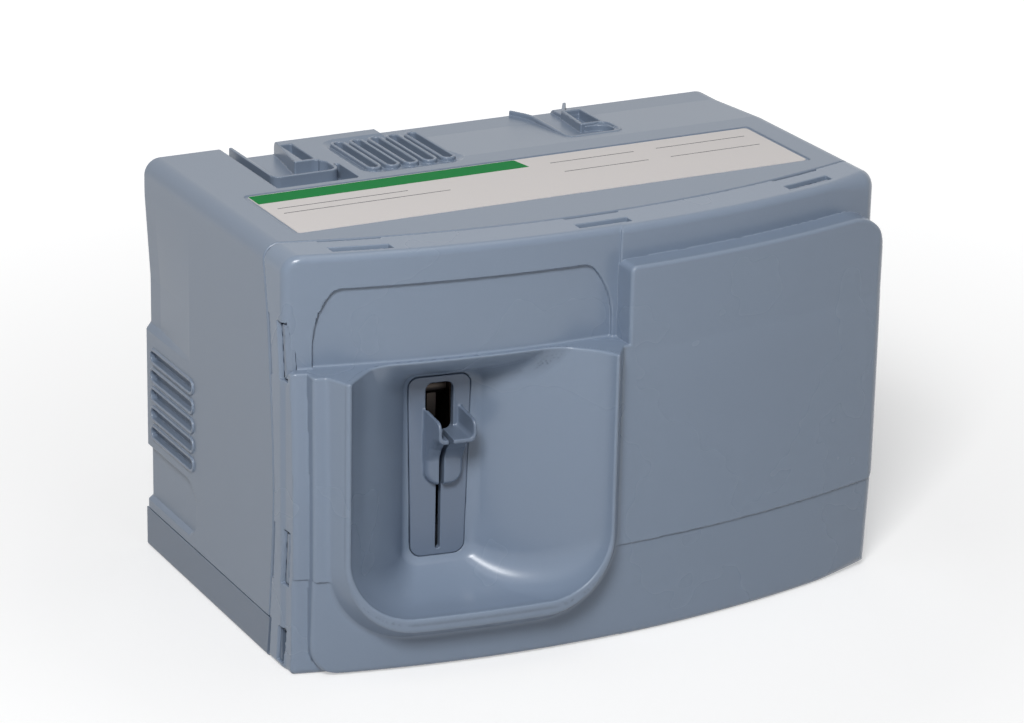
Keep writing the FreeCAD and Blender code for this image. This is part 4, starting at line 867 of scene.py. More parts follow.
@dataclass
class RearHousing:
    """Deep housing with its top, sides and rear, guide rails and grip rings."""
    unit: Unit
    low: float = 20.3
    side_wall: float = 4.5
    rear_wall: float = 2.5
    ring_at: Tuple[float, ...] = (-59.0, -49.5, -40.0, -30.5, -21.0)
    side_rings: Tuple[float, ...] = (61.5, 71.0, 80.5, 90.0, 99.5)
    label: Patch = Patch((-131.0, -28.3), (131.0, 29.0), 2.0)
    label_sink: float = 0.6
    label_edge: float = 0.25
    cut_edge: float = 0.4
    deck_fall: float = 2.3
    deck_from: float = 42.0
    deck_run: float = 40.0
    deck_split: float = -33.0
    deck_split_run: float = 1.6
    relief_depth: float = 2.3
    relief_floor: float = 25.5
    relief: Patch = Patch((41.0, 25.0), (180.0, 52.0), 12.0)
    relief_run: float = 1.6
    waist: Tuple[float, float] = (47.0, 112.0)
    waist_corner: float = 1.0
    waist_run: float = 3.0
    fade_depth: float = 2.4
    fade_from: Tuple[float, float] = (46.0, 176.0)
    fade_run: float = 40.0
    corner_round: float = 3.0
    seam_edge: float = 0.5
    ring_middle: float = 63.25
    ring_half: float = 18.4
    ring_radius: float = 3.8
    ring_wall: float = 1.6
    ring_rise: float = 0.7
    ring_floor: float = 189.4
    ring_root: float = 186.0
    grip_middle: float = 67.5
    grip_half: float = 21.5
    grip_radius: float = 4.0
    grip_wall: float = 1.5
    grip_rise: float = 0.9
    grip_depth: float = 2.2
    grip_root: float = 5.0
    grip_edge: float = 0.45
    ring_edge: float = 0.5
    moat_ground: Patch = Patch((-63.5, 39.0), (-16.5, 87.0), 6.0)
    moat_depth: float = 1.1
    moat_slope: float = 0.35
    rail_edge: float = 0.4
    left_pocket: Patch = Patch((-112.0, 33.0), (-77.4, 130.0), 1.5)
    left_apron: Patch = Patch((-92.0, 33.0), (-71.4, 56.0), 2.0)
    left_turn: Track = Track(((-85.0, 57.4), (-83.2, 57.4)), 8.2)
    left_recess: Patch = Patch((-84.2, 67.4), (-78.4, 92.0), 1.0)
    left_tracks: Tuple[Track, ...] = (
        Track(((-106.7, 97.5), (-106.7, 48.4), (-86.0, 48.4)), 0.85, 4.5),
        Track(((-86.0, 48.4), (-74.4, 48.4), (-74.4, 66.4), (-88.0, 66.4)), 0.85, 8.8, 8))
    island: Tuple[float, float] = (-88.6, 66.0)
    island_lean: float = 0.14
    island_corner: float = 0.8
    right_pocket: Patch = Patch((46.4, 50.2), (62.6, 130.0), 2.0)
    right_turn: Track = Track(((55.0, 57.4), (65.6, 57.4)), 7.4)
    right_recess: Patch = Patch((64.4, 67.4), (71.4, 86.6), 1.0)
    right_tracks: Tuple[Track, ...] = (
        Track(((40.0, 98.0), (45.6, 88.0), (45.6, 49.3), (64.0, 49.3)), 0.85, 4.5),
        Track(((64.0, 49.3), (74.6, 49.3), (74.6, 65.8), (61.0, 65.8)), 0.85, 8.2, 8),
        Track(((61.0, 65.8), (63.1, 87.8), (70.0, 99.4)), 0.85),
        Track(((63.1, 87.6), (72.2, 87.6), (72.2, 65.0)), 0.85))
    left_floor: float = 186.4
    left_root: float = 183.0
    right_floor: float = 188.7
    right_root: float = 186.5
    recess_floor: float = 188.0
    tab_half: float = 12.2
    tab_slope: float = 0.5
    tab_level: Tuple[float, float, float] = (187.6, 189.9, 191.9)
    tab_reach: Tuple[float, float, float] = (-5.0, 11.4, 15.4)
    side_tab_level: Tuple[float, float, float] = (144.6, 146.8, 148.6)
    side_tab_reach: Tuple[float, float, float] = (-5.0, 10.8, 14.6)
    side_tab_gap: float = 0.8
    drive_level: float = 64.0
    pump_hole: Tuple[float, float] = (-102.0, 13.05)
    valve_hole: Tuple[float, float] = (-34.0, 11.05)
    contact_window: Patch = Patch((-80.5, 134.5), (-23.5, 155.5), 1.5)
    rear_cut: float = 90.0
    roof: Tuple[float, float] = (183.9, 185.9)
    low_roof: Tuple[float, float, float] = (-114.0, -76.0, 31.0)
    roof_round: float = 1.0
    hollow_corner: float = 2.0
    collar: Patch = Patch((-83.0, 132.0), (-21.0, 158.0), 1.0)
    collar_front: float = 94.1
    step: float = 0.62
    quick_step: float = 0.9

    def body(self, x: Array, y: Array, z: Array, radius: Array) -> Array:
        """Outer form with the lowered deck and the side relief.

        Args:
            x, y, z: Place in mm.
            radius: Distance from the plan centre in mm.

        Returns:
            The field, negative inside.
        """
        unit = self.unit
        fall = np.clip((y - self.deck_from) / self.deck_run, 0, 1)
        fall = fall * np.clip((x - self.deck_split) / self.deck_split_run, 0, 1)
        side = np.abs(x) - unit.half_width
        under = np.maximum(self.relief.over(y, z), self.relief_floor - z)
        over = round_meet(self.waist[1] - z, self.waist[0] - y, self.waist_corner)
        fade = np.clip((y - self.fade_from[0]) / self.fade_run, 0, 1)
        fade = fade * np.clip((self.fade_from[1] - z) / self.fade_run, 0, 1)
        sunk = self.relief_depth * np.clip(0.5 - under / self.relief_run, 0, 1)
        sunk = sunk + self.fade_depth * fade * np.clip(0.5 - over / self.waist_run, 0, 1)
        top = round_meet(side + sunk, z - unit.height + self.deck_fall * fall, unit.side_round)
        around = round_meet(top, y - unit.rear, self.corner_round)
        around = round_meet(around, self.low - z, self.cut_edge)
        return round_meet(around, radius - unit.seam(z), self.seam_edge)

    def rings(self, x: Array, y: Array, z: Array) -> Tuple[Array, Array]:
        """Sunk fields and raised rims of the rings on the top.

        Args:
            x, y, z: Place in mm.

        Returns:
            Fields of the sunk floors and of the rims.
        """
        along = np.maximum(np.abs(y - self.ring_middle) - self.ring_half, 0)
        around = closest(np.hypot(x - middle, along) for middle in self.ring_at) - self.ring_radius
        rims = round_meet(around, z - self.unit.height - self.ring_rise, self.ring_edge)
        return np.maximum(around + self.ring_wall, self.ring_floor - z), rims

    def side_grips(self, x: Array, y: Array, z: Array) -> Tuple[Array, Array]:
        """Sunk fields of the rings on both side walls, and their rims.

        Args:
            x, y, z: Place in mm.

        Returns:
            Fields of the sunk floors and of the rims.
        """
        along = np.maximum(np.abs(y - self.grip_middle) - self.grip_half, 0)
        around = closest(np.hypot(z - level, along) for level in self.side_rings) - self.grip_radius
        depth = self.unit.half_width - np.abs(x)
        rims = round_meet(around, -depth - self.grip_rise, self.ring_edge)
        return np.maximum(around + self.grip_wall, depth - self.grip_depth), np.maximum(rims, depth - self.grip_root)

    def moat(self, x: Array, y: Array, z: Array) -> Array:
        """Gently sunk ground round the rings of the top."""
        rise = self.moat_slope * np.clip(self.moat_ground.over(x, y), -1, 8)
        return self.unit.height - self.moat_depth + rise - z

    def left_rail(self, x: Array, y: Array, z: Array) -> Tuple[Array, Array]:
        """Pocket of the left guide and the rail that stands in it.

        Args:
            x, y, z: Place in mm.

        Returns:
            Fields of the pocket and of the rail.
        """
        pocket = closest(part.over(x, y) for part in (self.left_pocket, self.left_turn, self.left_apron))
        left, front = self.island
        island = round_meet(left - x + (y - front) * self.island_lean, front - y, self.island_corner)
        pocket = round_cut(pocket, island, self.cut_edge)
        pocket = np.maximum(pocket, self.left_floor - z)
        pocket = np.minimum(pocket, np.maximum(self.left_recess.over(x, y), self.recess_floor - z))
        rail = closest(track.over(x, y) for track in self.left_tracks)
        rail = round_meet(rail, z - self.unit.height, self.rail_edge)
        return pocket, np.maximum(rail, self.left_root - z)

    def right_rail(self, x: Array, y: Array, z: Array) -> Tuple[Array, Array]:
        """Sunk run of the right guide and its rail.

        Args:
            x, y, z: Place in mm.

        Returns:
            Fields of the pocket and of the rail.
        """
        pocket = np.minimum(self.right_pocket.over(x, y), self.right_turn.over(x, y))
        pocket = np.maximum(pocket, self.right_floor - z)
        pocket = np.minimum(pocket, np.maximum(self.right_recess.over(x, y), self.recess_floor - z))
        rail = closest(track.over(x, y) for track in self.right_tracks)
        rail = round_meet(rail, z - self.unit.height, self.rail_edge)
        return pocket, np.maximum(rail, self.right_root - z)

    def tabs(self, x: Array, z: Array, radius: Array) -> Array:
        """Snap tabs that reach into the windows of the cover.

        Args:
            x: Across, in mm.
            z: Upwards, in mm.
            radius: Distance from the plan centre in mm.

        Returns:
            The field, negative inside.
        """
        unit = self.unit
        ahead = radius - unit.seam(z)
        top = self.tab(z, ahead, self.tab_level, self.tab_reach)
        side = self.tab(np.abs(x), ahead, self.side_tab_level, self.side_tab_reach)
        across = closest(band(x, middle - self.tab_half, middle + self.tab_half) for middle in unit.windows)
        gap = self.side_tab_gap
        up = closest(band(z, low + gap, high - gap) for low, high in unit.side_windows)
        return np.minimum(np.maximum(across, top), np.maximum(up, side))

    def tab(self, level: Array, ahead: Array, levels: Sequence[float], reach: Sequence[float]) -> Array:
        """Section of a snap tab: a tongue and the hook at its end.

        Args:
            level: Place through the thickness of the tab in mm.
            ahead: Distance in front of the seam in mm.
            levels: Underside, step and top of the hook in mm.
            reach: Root, nose and tip of the tab in mm.

        Returns:
            The field of the section.
        """
        low, step, top = levels
        root, nose, tip = reach
        tongue = np.maximum(band(level, low, step), band(ahead, root, tip))
        slope = np.clip(level - step, 0, 2) * self.tab_slope
        return np.minimum(tongue, np.maximum(band(level, low, top), band(ahead, nose, tip) + slope))

    def openings(self, x: Array, y: Array, z: Array) -> Array:
        """Drive holes and contact window of the rear wall.

        Args:
            x, y, z: Place in mm.

        Returns:
            The field, negative inside.
        """
        holes = self.contact_window.over(x, z)
        for across, bore in (self.pump_hole, self.valve_hole):
            holes = np.minimum(holes, np.hypot(x - across, z - self.drive_level) - bore)
        return np.maximum(holes, self.rear_cut - y)

    def field(self, x: Array, y: Array, z: Array) -> Array:
        """Distance to the whole housing.

        Args:
            x, y, z: Place in mm.

        Returns:
            The field, negative inside.
        """
        unit = self.unit
        radius = unit.radius(x, y)
        outer = self.body(x, y, z, radius)
        sunk, rims = self.rings(x, y, z)
        outer = np.maximum(outer, -self.moat(x, y, z))
        outer = np.minimum(outer, np.maximum(rims, self.ring_root - z))
        outer = round_cut(outer, sunk, self.ring_edge)
        left_pocket, left_rail = self.left_rail(x, y, z)
        right_pocket, right_rail = self.right_rail(x, y, z)
        outer = round_cut(outer, np.minimum(left_pocket, right_pocket), self.cut_edge)
        outer = np.minimum(outer, np.maximum(np.minimum(left_rail, right_rail), y - unit.rear))
        label = np.maximum(self.label.over(x, y), unit.height - self.label_sink - z)
        outer = round_cut(outer, label, self.label_edge)
        sunk, rims = self.side_grips(x, y, z)
        outer = round_cut(np.minimum(outer, rims), sunk, self.grip_edge)
        left, right, front = self.low_roof
        roof = np.where((x > left) & (x < right) & (y > front), *self.roof)
        side = np.abs(x) - unit.half_width + self.side_wall
        hollow = round_meet(side, y - unit.rear + self.rear_wall, self.hollow_corner)
        hollow = round_meet(hollow, z - roof, self.roof_round)
        hollow = np.maximum(hollow, -np.maximum(self.collar.over(x, z), self.collar_front - y))
        shell = np.maximum(outer, -hollow)
        shell = np.minimum(shell, self.tabs(x, z, radius))
        return round_cut(shell, self.openings(x, y, z), self.cut_edge)

    def build(self, finish: bpy.types.Material) -> bpy.types.Object:
        """Meshes the housing and lets it stand for its CAD node.

        Args:
            finish: Material of the piece.

        Returns:
            The skin that stands for rear_housing.
        """
        fine = self.step
        mid = fine * 1.5
        x_lines = Lines(-152.5, 153.0, 6.0, (
            (-150.5, -141.0, fine), (-132.0, -130.0, fine), (-127.5, -126.0, mid), (-113.0, -104.5, fine),
            (-104.0, -90.0, mid), (-90.0, -71.0, fine), (-66.0, -14.0, fine), (38.0, 47.5, fine), (47.5, 60.0, mid),
            (60.0, 76.0, fine), (97.0, 99.0, mid), (123.0, 125.0, mid), (130.0, 132.0, fine), (141.0, 150.5, fine)))
        y_lines = Lines(-78.5, 102.5, 4.0, (
            (-74.0, -58.0, mid * 1.3), (-58.0, -32.0, fine), (-29.0, -27.5, fine), (28.0, 34.0, fine),
            (39.0, 52.0, fine), (52.0, 80.0, mid), (62.0, 68.0, fine), (80.0, 100.5, fine)))
        z_lines = Lines(18.0, 195.0, 5.0, (
            (19.5, 25.0, fine), (40.0, 43.0, mid), (50.0, 104.0, fine * 1.2), (104.0, 114.0, mid),
            (128.0, 133.0, fine * 1.2), (134.0, 138.5, mid), (154.0, 164.0, mid), (182.5, 193.5, fine)))
        made = Mesher(self.field, (x_lines, y_lines, z_lines)).build("rear_housing_skin")
        made.data.materials.append(finish)
        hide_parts("rear_housing")
        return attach(made, "cartridge")


# ---------------------------------------------------------------- finishes

class Surface(Enum):
    """How a finish treats light."""
    MOULDED = "moulded"
    METAL = "metal"
    CLEAR = "clear"
    PAPER = "paper"
    FILM = "film"


@dataclass(frozen=True)
class Finish:
    """Finish of a family of pieces."""
    name: str
    colour: Tuple[float, float, float]
    surface: Surface = Surface.MOULDED
    roughness: float = 0.42
    variation: float = 0.03
    grain_mm: float = 0.55
    grain_depth: float = 0.02
    streaks: bool = False


class Wiring:
    """Small helper that adds and links shader nodes."""

    def __init__(self, tree: bpy.types.NodeTree) -> None:
        """Clears the tree and keeps it."""
        self.tree = tree
        tree.nodes.clear()

    def add(self, kind: str, **settings: object) -> Node:
        """Adds a node and sets its properties.

        Args:
            kind: Kind of node.
            settings: Properties of the node.

        Returns:
            The node.
        """
        node = self.tree.nodes.new(kind)
        for name, value in settings.items():
            setattr(node, name, value)
        return node

    def link(self, start: Node, out: str, end: Node, into: str) -> None:
        """Links an output to an input, both by name."""
        self.tree.links.new(start.outputs[out], end.inputs[into])

    def math(self, operation: str, first: Union[Link, float], second: Union[Link, float] = 0.0) -> Node:
        """Math node with links or numbers as inputs.

        Args:
            operation: Name of the operation.
            first: Link or number of the first input.
            second: Link or number of the second input.

        Returns:
            The node.
        """
        node = self.add("ShaderNodeMath", operation=operation)
        for place, value in enumerate((first, second)):
            if isinstance(value, tuple):
                self.tree.links.new(value[0].outputs[value[1]], node.inputs[place])
            else:
                node.inputs[place].default_value = value
        return node


class FinishBook:
    """Makes each finish once and hands out its material."""
    drift_scale: float = 14.0
    drift_share: float = 0.65
    fleck_scale: float = 900.0
    fleck_share: float = 0.35
    ramp_ends: Tuple[float, float] = (0.15, 0.85)
    polish: Tuple[float, float] = (0.9, 1.1)
    bump_strength: float = 0.35

    def __init__(self, finishes: Sequence[Finish]) -> None:
        """Builds all materials."""
        self.made: Dict[str, bpy.types.Material] = {item.name: self.make(item) for item in finishes}

    def __getitem__(self, name: str) -> bpy.types.Material:
        """Material of a finish."""
        return self.made[name]

    def make(self, item: Finish) -> bpy.types.Material:
        """Builds the node material of one finish.

        Args:
            item: The finish.

        Returns:
            The material.
        """
        material = bpy.data.materials.new(item.name)
        material.use_nodes = True
        wires = Wiring(material.node_tree)
        output = wires.add("ShaderNodeOutputMaterial")
        shader = wires.add("ShaderNodeBsdfPrincipled")
        wires.link(shader, "BSDF", output, "Surface")
        place = wires.add("ShaderNodeTexCoord")
        self.colour(wires, item, place, shader)
        self.relief(wires, item, place, shader)
        self.light(item, shader)
        return material

    def colour(self, wires: Wiring, item: Finish, place: Node, shader: Node) -> None:
        """Base colour with a slow drift and fine flecks.

        Args:
            wires: Helper of the material's node tree.
            item: The finish.
            place: Texture coordinates.
            shader: Shader that is fed.
        """
        drift = wires.add("ShaderNodeTexNoise")
        drift.inputs["Scale"].default_value = self.drift_scale
        drift.inputs["Detail"].default_value = 3.0
        wires.link(place, "Object", drift, "Vector")
        fleck = wires.add("ShaderNodeTexNoise")
        fleck.inputs["Scale"].default_value = self.fleck_scale
        fleck.inputs["Detail"].default_value = 2.0
        if item.streaks:
            stretch = wires.add("ShaderNodeMapping")
            stretch.inputs["Scale"].default_value = (1.0, 0.03, 1.0)
            wires.link(place, "Object", stretch, "Vector")
            wires.link(stretch, "Vector", fleck, "Vector")
        else:
            wires.link(place, "Object", fleck, "Vector")
        slow = wires.math("MULTIPLY", (drift, "Fac"), self.drift_share)
        fine = wires.math("MULTIPLY", (fleck, "Fac"), self.fleck_share)
        both = wires.math("ADD", (slow, "Value"), (fine, "Value"))
        ramp = wires.add("ShaderNodeValToRGB")
        for end, place_on_ramp, sign in zip(ramp.color_ramp.elements, self.ramp_ends, (-1, 1)):
            end.position = place_on_ramp
            end.color = (*(min(1.0, channel * (1 + sign * item.variation)) for channel in item.colour), 1)
        wires.link(both, "Value", ramp, "Fac")
        wires.link(ramp, "Color", shader, "Base Color")
        polish = wires.add("ShaderNodeMapRange")
        polish.inputs["To Min"].default_value = item.roughness * self.polish[0]
        polish.inputs["To Max"].default_value = min(1.0, item.roughness * self.polish[1])
        wires.link(drift, "Fac", polish, "Value")
        wires.link(polish, "Result", shader, "Roughness")

    def relief(self, wires: Wiring, item: Finish, place: Node, shader: Node) -> None:
        """Fine moulding grain as a shallow bump.

        Args:
            wires: Helper of the material's node tree.
            item: The finish.
            place: Texture coordinates.
            shader: Shader that is fed.
        """
        grain = wires.add("ShaderNodeTexNoise")
        grain.inputs["Scale"].default_value = 1000.0 / item.grain_mm
        grain.inputs["Detail"].default_value = 2.5
        wires.link(place, "Object", grain, "Vector")
        bump = wires.add("ShaderNodeBump")
        bump.inputs["Strength"].default_value = self.bump_strength
        bump.inputs["Distance"].default_value = item.grain_depth * MM
        wires.link(grain, "Fac", bump, "Height")
        wires.link(bump, "Normal", shader, "Normal")

    def light(self, item: Finish, shader: Node) -> None:
        """Fixed values of the shader for each kind of surface.

        Args:
            item: The finish.
            shader: Shader that is fed.
        """
        if item.surface is Surface.METAL:
            shader.inputs["Metallic"].default_value = 1.0
        elif item.surface is Surface.CLEAR:
            shader.inputs["Transmission Weight"].default_value = 0.85
            shader.inputs["IOR"].default_value = 1.46
        elif item.surface is Surface.FILM:
            shader.inputs["Transmission Weight"].default_value = 0.25
            shader.inputs["Coat Weight"].default_value = 0.3
        elif item.surface is Surface.PAPER:
            shader.inputs["Specular IOR Level"].default_value = 0.02
        else:
            shader.inputs["IOR"].default_value = 1.5


def linear(red: int, green: int, blue: int) -> Tuple[float, float, float]:
    """Scene colour of an 8 bit screen colour."""
    shares = (red / 255, green / 255, blue / 255)
    return tuple(c / 12.92 if c <= 0.04045 else ((c + 0.055) / 1.055) ** 2.4 for c in shares)


FINISHES = (
    Finish("housing_satin", linear(118, 131, 149), roughness=0.31),
    Finish("cover_satin", linear(124, 138, 157), roughness=0.27),
    Finish("plate_satin", linear(106, 119, 138), roughness=0.32),
    # The tray's colour is its plastic made darker than the housing: painted shade of the overhang of the cover above
    # it.
    Finish("tray_satin_with_painted_shade", linear(100, 113, 131), roughness=0.36),
    Finish("inner_plastic", linear(58, 62, 70), roughness=0.55),
    Finish("bracket_bronze", linear(46, 40, 36), Surface.METAL, 0.42, streaks=True),
    Finish("arm_bronze", linear(66, 60, 56), Surface.METAL, 0.36, streaks=True),
    Finish("needle_steel", linear(196, 198, 202), Surface.METAL, 0.22, streaks=True),
    Finish("tube_rubber", linear(196, 186, 160), Surface.CLEAR, 0.4, grain_depth=0.01),
    Finish("rotor_plastic", linear(210, 210, 206), roughness=0.4),
    Finish("drive_plastic", linear(44, 46, 50), roughness=0.45),
    Finish("roller_acetal", linear(232, 232, 226), roughness=0.3),
    Finish("card_plastic", linear(222, 224, 226), roughness=0.35),
    Finish("clear_plastic", linear(226, 232, 238), Surface.CLEAR, 0.12, grain_depth=0.004),
    Finish("cell_aluminium", linear(188, 190, 194), Surface.METAL, 0.36, streaks=True),
    Finish("cell_glass", linear(236, 242, 244), Surface.CLEAR, 0.04, grain_depth=0.001),
    Finish("board_green", linear(30, 84, 60), roughness=0.35, variation=0.12),
    Finish("pad_gold", linear(212, 170, 96), Surface.METAL, 0.26),
    Finish("pouch_film", linear(206, 212, 220), Surface.FILM, 0.22, grain_mm=3.0, grain_depth=0.12),
    Finish("waste_film", linear(196, 190, 176), Surface.FILM, 0.28, grain_mm=3.0, grain_depth=0.12),
    Finish("spout_plastic", linear(226, 226, 222), roughness=0.4),
    Finish("label_stock", linear(220, 215, 213), Surface.PAPER, 0.42, variation=0.015, grain_depth=0.006),
    Finish("label_green", linear(2, 126, 58), Surface.PAPER, 0.4, variation=0.04, grain_depth=0.006),
    Finish("label_ink", linear(66, 68, 74), Surface.PAPER, 0.5, grain_depth=0.004),
)

NODE_FINISH: Tuple[Tuple[str, str], ...] = (
    ("bottom_tray", "tray_satin_with_painted_shade"), ("sampler_bracket", "bracket_bronze"), ("pivot_pin", "needle_steel"),
    ("sampler_arm", "arm_bronze"), ("sampling_needle", "needle_steel"), ("needle_park", "inner_plastic"),
    ("divider_wall", "inner_plastic"), ("chassis", "inner_plastic"), ("pump_race", "inner_plastic"),
    ("pump_tube", "tube_rubber"), ("pump_rotor", "rotor_plastic"), ("pump_roller", "roller_acetal"),
    ("pump_drive_dog", "drive_plastic"), ("valve_body", "card_plastic"), ("valve_rotor", "rotor_plastic"),
    ("valve_drive_dog", "drive_plastic"), ("sensor_card", "card_plastic"), ("card_lid", "clear_plastic"),
    ("heater_plate", "cell_aluminium"), ("optical_cell", "cell_aluminium"), ("optical_glass", "cell_glass"),
    ("contact_board", "board_green"), ("contact_pads", "pad_gold"), ("pouch_rack", "inner_plastic"),
    ("reagent_spout", "spout_plastic"), ("waste_spout", "spout_plastic"), ("manifold", "card_plastic"),
)


# ---------------------------------------------------------------- label, pouches and inner pieces

@dataclass
class Label:
    """Long label with a green band and plain fill-in rules."""
    book: FinishBook
    print_thick: float = 0.036
    corner: float = 2.0
    margin: float = 0.4
    band_deep: float = 12.0
    band_end: Tuple[float, float] = (6.5, 4.5)
    rule_half: float = 0.25
    rules_below_band: Tuple[Tuple[float, float, float], ...] = ((-124.0, -60.0, 9.0), (-124.0, -42.0, 16.0))
    rules_from_rear: Tuple[Tuple[float, float, float], ...] = (
        (18.0, 62.0, 11.0), (18.0, 62.0, 25.0), (74.0, 122.0, 11.0), (74.0, 122.0, 25.0))

    def sheet(self, name: str, outline: Sequence[Tuple[float, float]], low: float, high: float,
              finish: str, rounding: float = 0.0) -> bpy.types.Object:
        """Thin sheet with a straight edged outline.

        Args:
            name: Name of the piece.
            outline: Corners in mm, counter-clockwise from above.
            low: Height of the underside in mm.
            high: Height of the face in mm.
            finish: Name of the finish.
            rounding: Corner radius in mm.

        Returns:
            The object.
        """
        corners: List[Tuple[float, float]] = []
        count = len(outline)
        for place in range(count):
            trio = (outline[place - 1], outline[place], outline[(place + 1) % count])
            corners += rounded_path(trio, rounding, 6)[1:-1] if rounding > 0 else [outline[place]]
        size = len(corners)
        flat = np.array(corners)
        points = np.concatenate([np.c_[flat, np.full(size, low)], np.c_[flat, np.full(size, high)]]) * MM
        mesh = bpy.data.meshes.new(name)
        ring = list(range(size))
        faces = [ring[::-1], [size + k for k in ring]]
        faces += [[k, (k + 1) % size, size + (k + 1) % size, size + k] for k in ring]
        mesh.from_pydata(points.tolist(), [], faces)
        mesh.materials.append(self.book[finish])
        made = bpy.data.objects.new(name, mesh)
        bpy.context.scene.collection.objects.link(made)
        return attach(made, "cartridge")

    def build(self) -> List[bpy.types.Object]:
        """Makes the stock, the band and the rules.

        Returns:
            The pieces of the label.
        """
        low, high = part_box("label")
        x0, y0, x1, y1 = low.x / MM, low.y / MM, high.x / MM, high.y / MM
        foot, face = low.z / MM, high.z / MM
        top = face + self.print_thick
        outline = ((x0, y0), (x1, y0), (x1, y1), (x0, y1))
        stock = self.sheet("label_stock", outline, foot, face, "label_stock", self.corner)
        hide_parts("label")
        left, rear, front = x0 + self.margin, y1 - self.margin, y1 - self.band_deep
        outline = ((left, front), (self.band_end[0], front), (self.band_end[1], rear), (left, rear))
        band = self.sheet("label_band", outline, face, top, "label_green")
        rules = [(start, end, front - away) for start, end, away in self.rules_below_band]
        rules += [(start, end, y1 - away) for start, end, away in self.rules_from_rear]
        made = [stock, band]
        for number, (start, end, at) in enumerate(rules, 1):
            near, far = at - self.rule_half, at + self.rule_half
            outline = ((start, near), (end, near), (end, far), (start, far))
            rule = self.sheet("label_rule_%d" % number, outline, face, top, "label_ink")
            made.append(rule)
        return made


@dataclass
class Pouch:
    """Film pouch with a welded rim and a crowned, slightly wrinkled body."""
    node: str
    finish: bpy.types.Material
    slot: str
    fill: float
    rows: int = 61
    columns: int = 81
    rim: float = 0.07
    rim_flat: float = 0.6
    crown_rise: float = 7.0
    wrinkle: float = 0.035
    swell: float = 0.02
    weld: float = 0.0004

    def build(self, seed: int) -> bpy.types.Object:
        """Makes the pouch in the box of its CAD node.

        Args:
            seed: Shifts the wrinkles so that no two pouches match.

        Returns:
            The object, which replaces the CAD node.
        """
        low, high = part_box(self.node)
        size = high - low
        rows, columns = self.rows, self.columns
        u, v = np.meshgrid(np.linspace(-1, 1, columns), np.linspace(-1, 1, rows))
        a, b = (np.clip((1 - np.abs(way)) / self.rim - self.rim_flat, 0, None) * self.rim for way in (u, v))
        crown = (1 - np.exp(-a * self.crown_rise)) * (1 - np.exp(-b * self.crown_rise))
        crown = crown / crown.max()
        edge = np.exp(-np.minimum(a, b) * 14.0) * np.minimum(1, np.minimum(a, b) * 40)
        wave = np.sin(u * 23 + seed * 1.7 + 1.3 * np.sin(v * 7 + seed)) + np.sin(v * 19 + seed * 2.3 + np.sin(u * 5))
        bulge = np.clip(crown * (1 + self.swell * np.sin(u * 3 + seed)) + self.wrinkle * edge * wave, 0.0, 1.0)
        thick = size.x / 2
        half = np.minimum(self.weld + (thick - self.weld) * bulge, thick)
        middle = (low + high) / 2
        y = middle.y + u * size.y / 2
        z = middle.z + v * size.z / 2
        points = np.concatenate([np.stack([middle.x + sign * half, y, z], 2).reshape(-1, 3) for sign in (-1, 1)])
        number = np.arange(rows * columns).reshape(rows, columns)
        quads = np.stack([number[:-1, :-1], number[:-1, 1:], number[1:, 1:], number[1:, :-1]], 2).reshape(-1, 4)
        total = rows * columns
        ring = np.concatenate([number[0, :-1], number[:-1, -1], number[-1, :0:-1], number[:0:-1, 0]])
        rim_quads = np.stack([ring, ring + total, np.roll(ring, -1) + total, np.roll(ring, -1)], 1)
        faces = np.concatenate([quads[:, ::-1], quads + total, rim_quads[:, ::-1]])
        made = mesh_object(self.node + "_film", points, faces)
        made.data.materials.append(self.finish)
        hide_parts(self.node)
        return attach(made, "cartridge")


class InnerPieces:
    """CAD nodes that keep their shape and get bevelled edges and finishes."""
    edge: float = 0.35
    fine_edge: float = 0.08
    fine_nodes: Tuple[str, ...] = ("contact_pads", "sampling_needle", "pivot_pin")
    weld_reach: float = 0.00001
    sharp_from: float = 35.0

    def __init__(self, book: FinishBook, nodes: Dict[str, bpy.types.Object]) -> None:
        """Keeps the finishes and the nodes."""
        self.book = book
        self.nodes = nodes

    def dress(self) -> None:
        """Gives each node its finish and softened edges."""
        for start, finish in NODE_FINISH:
            for name, node in self.nodes.items():
                if name == start or (name.startswith(start + "_") and name[len(start) + 1:].isdigit()):
                    node.data.materials.clear()
                    node.data.materials.append(self.book[finish])
                    self.soften(node, self.fine_edge if name in self.fine_nodes else self.edge)
                    LOG.info("%s: %s", name, finish)

    def soften(self, node: bpy.types.Object, width: float) -> None:
        """Welds the facets and rounds the sharp edges of a node.

        Args:
            node: The CAD object.
            width: Width of the edge rounding in mm.
        """
        weld = node.modifiers.new("weld", "WELD")
        weld.merge_threshold = self.weld_reach
        bevel = node.modifiers.new("bevel", "BEVEL")
        bevel.width = width * MM
        bevel.segments = 2
        bevel.limit_method = "ANGLE"
        bevel.angle_limit = math.radians(self.sharp_from)
        bevel.harden_normals = False
        node.modifiers.new("normals", "WEIGHTED_NORMAL")


# ---------------------------------------------------------------- studio

@dataclass(frozen=True)
class Lamp:
    """Soft rectangular lamp."""
    name: str
    place: Tuple[float, float, float]
    aim: Tuple[float, float, float]
    size: Tuple[float, float]
    watts: float
    mirrored: bool = True


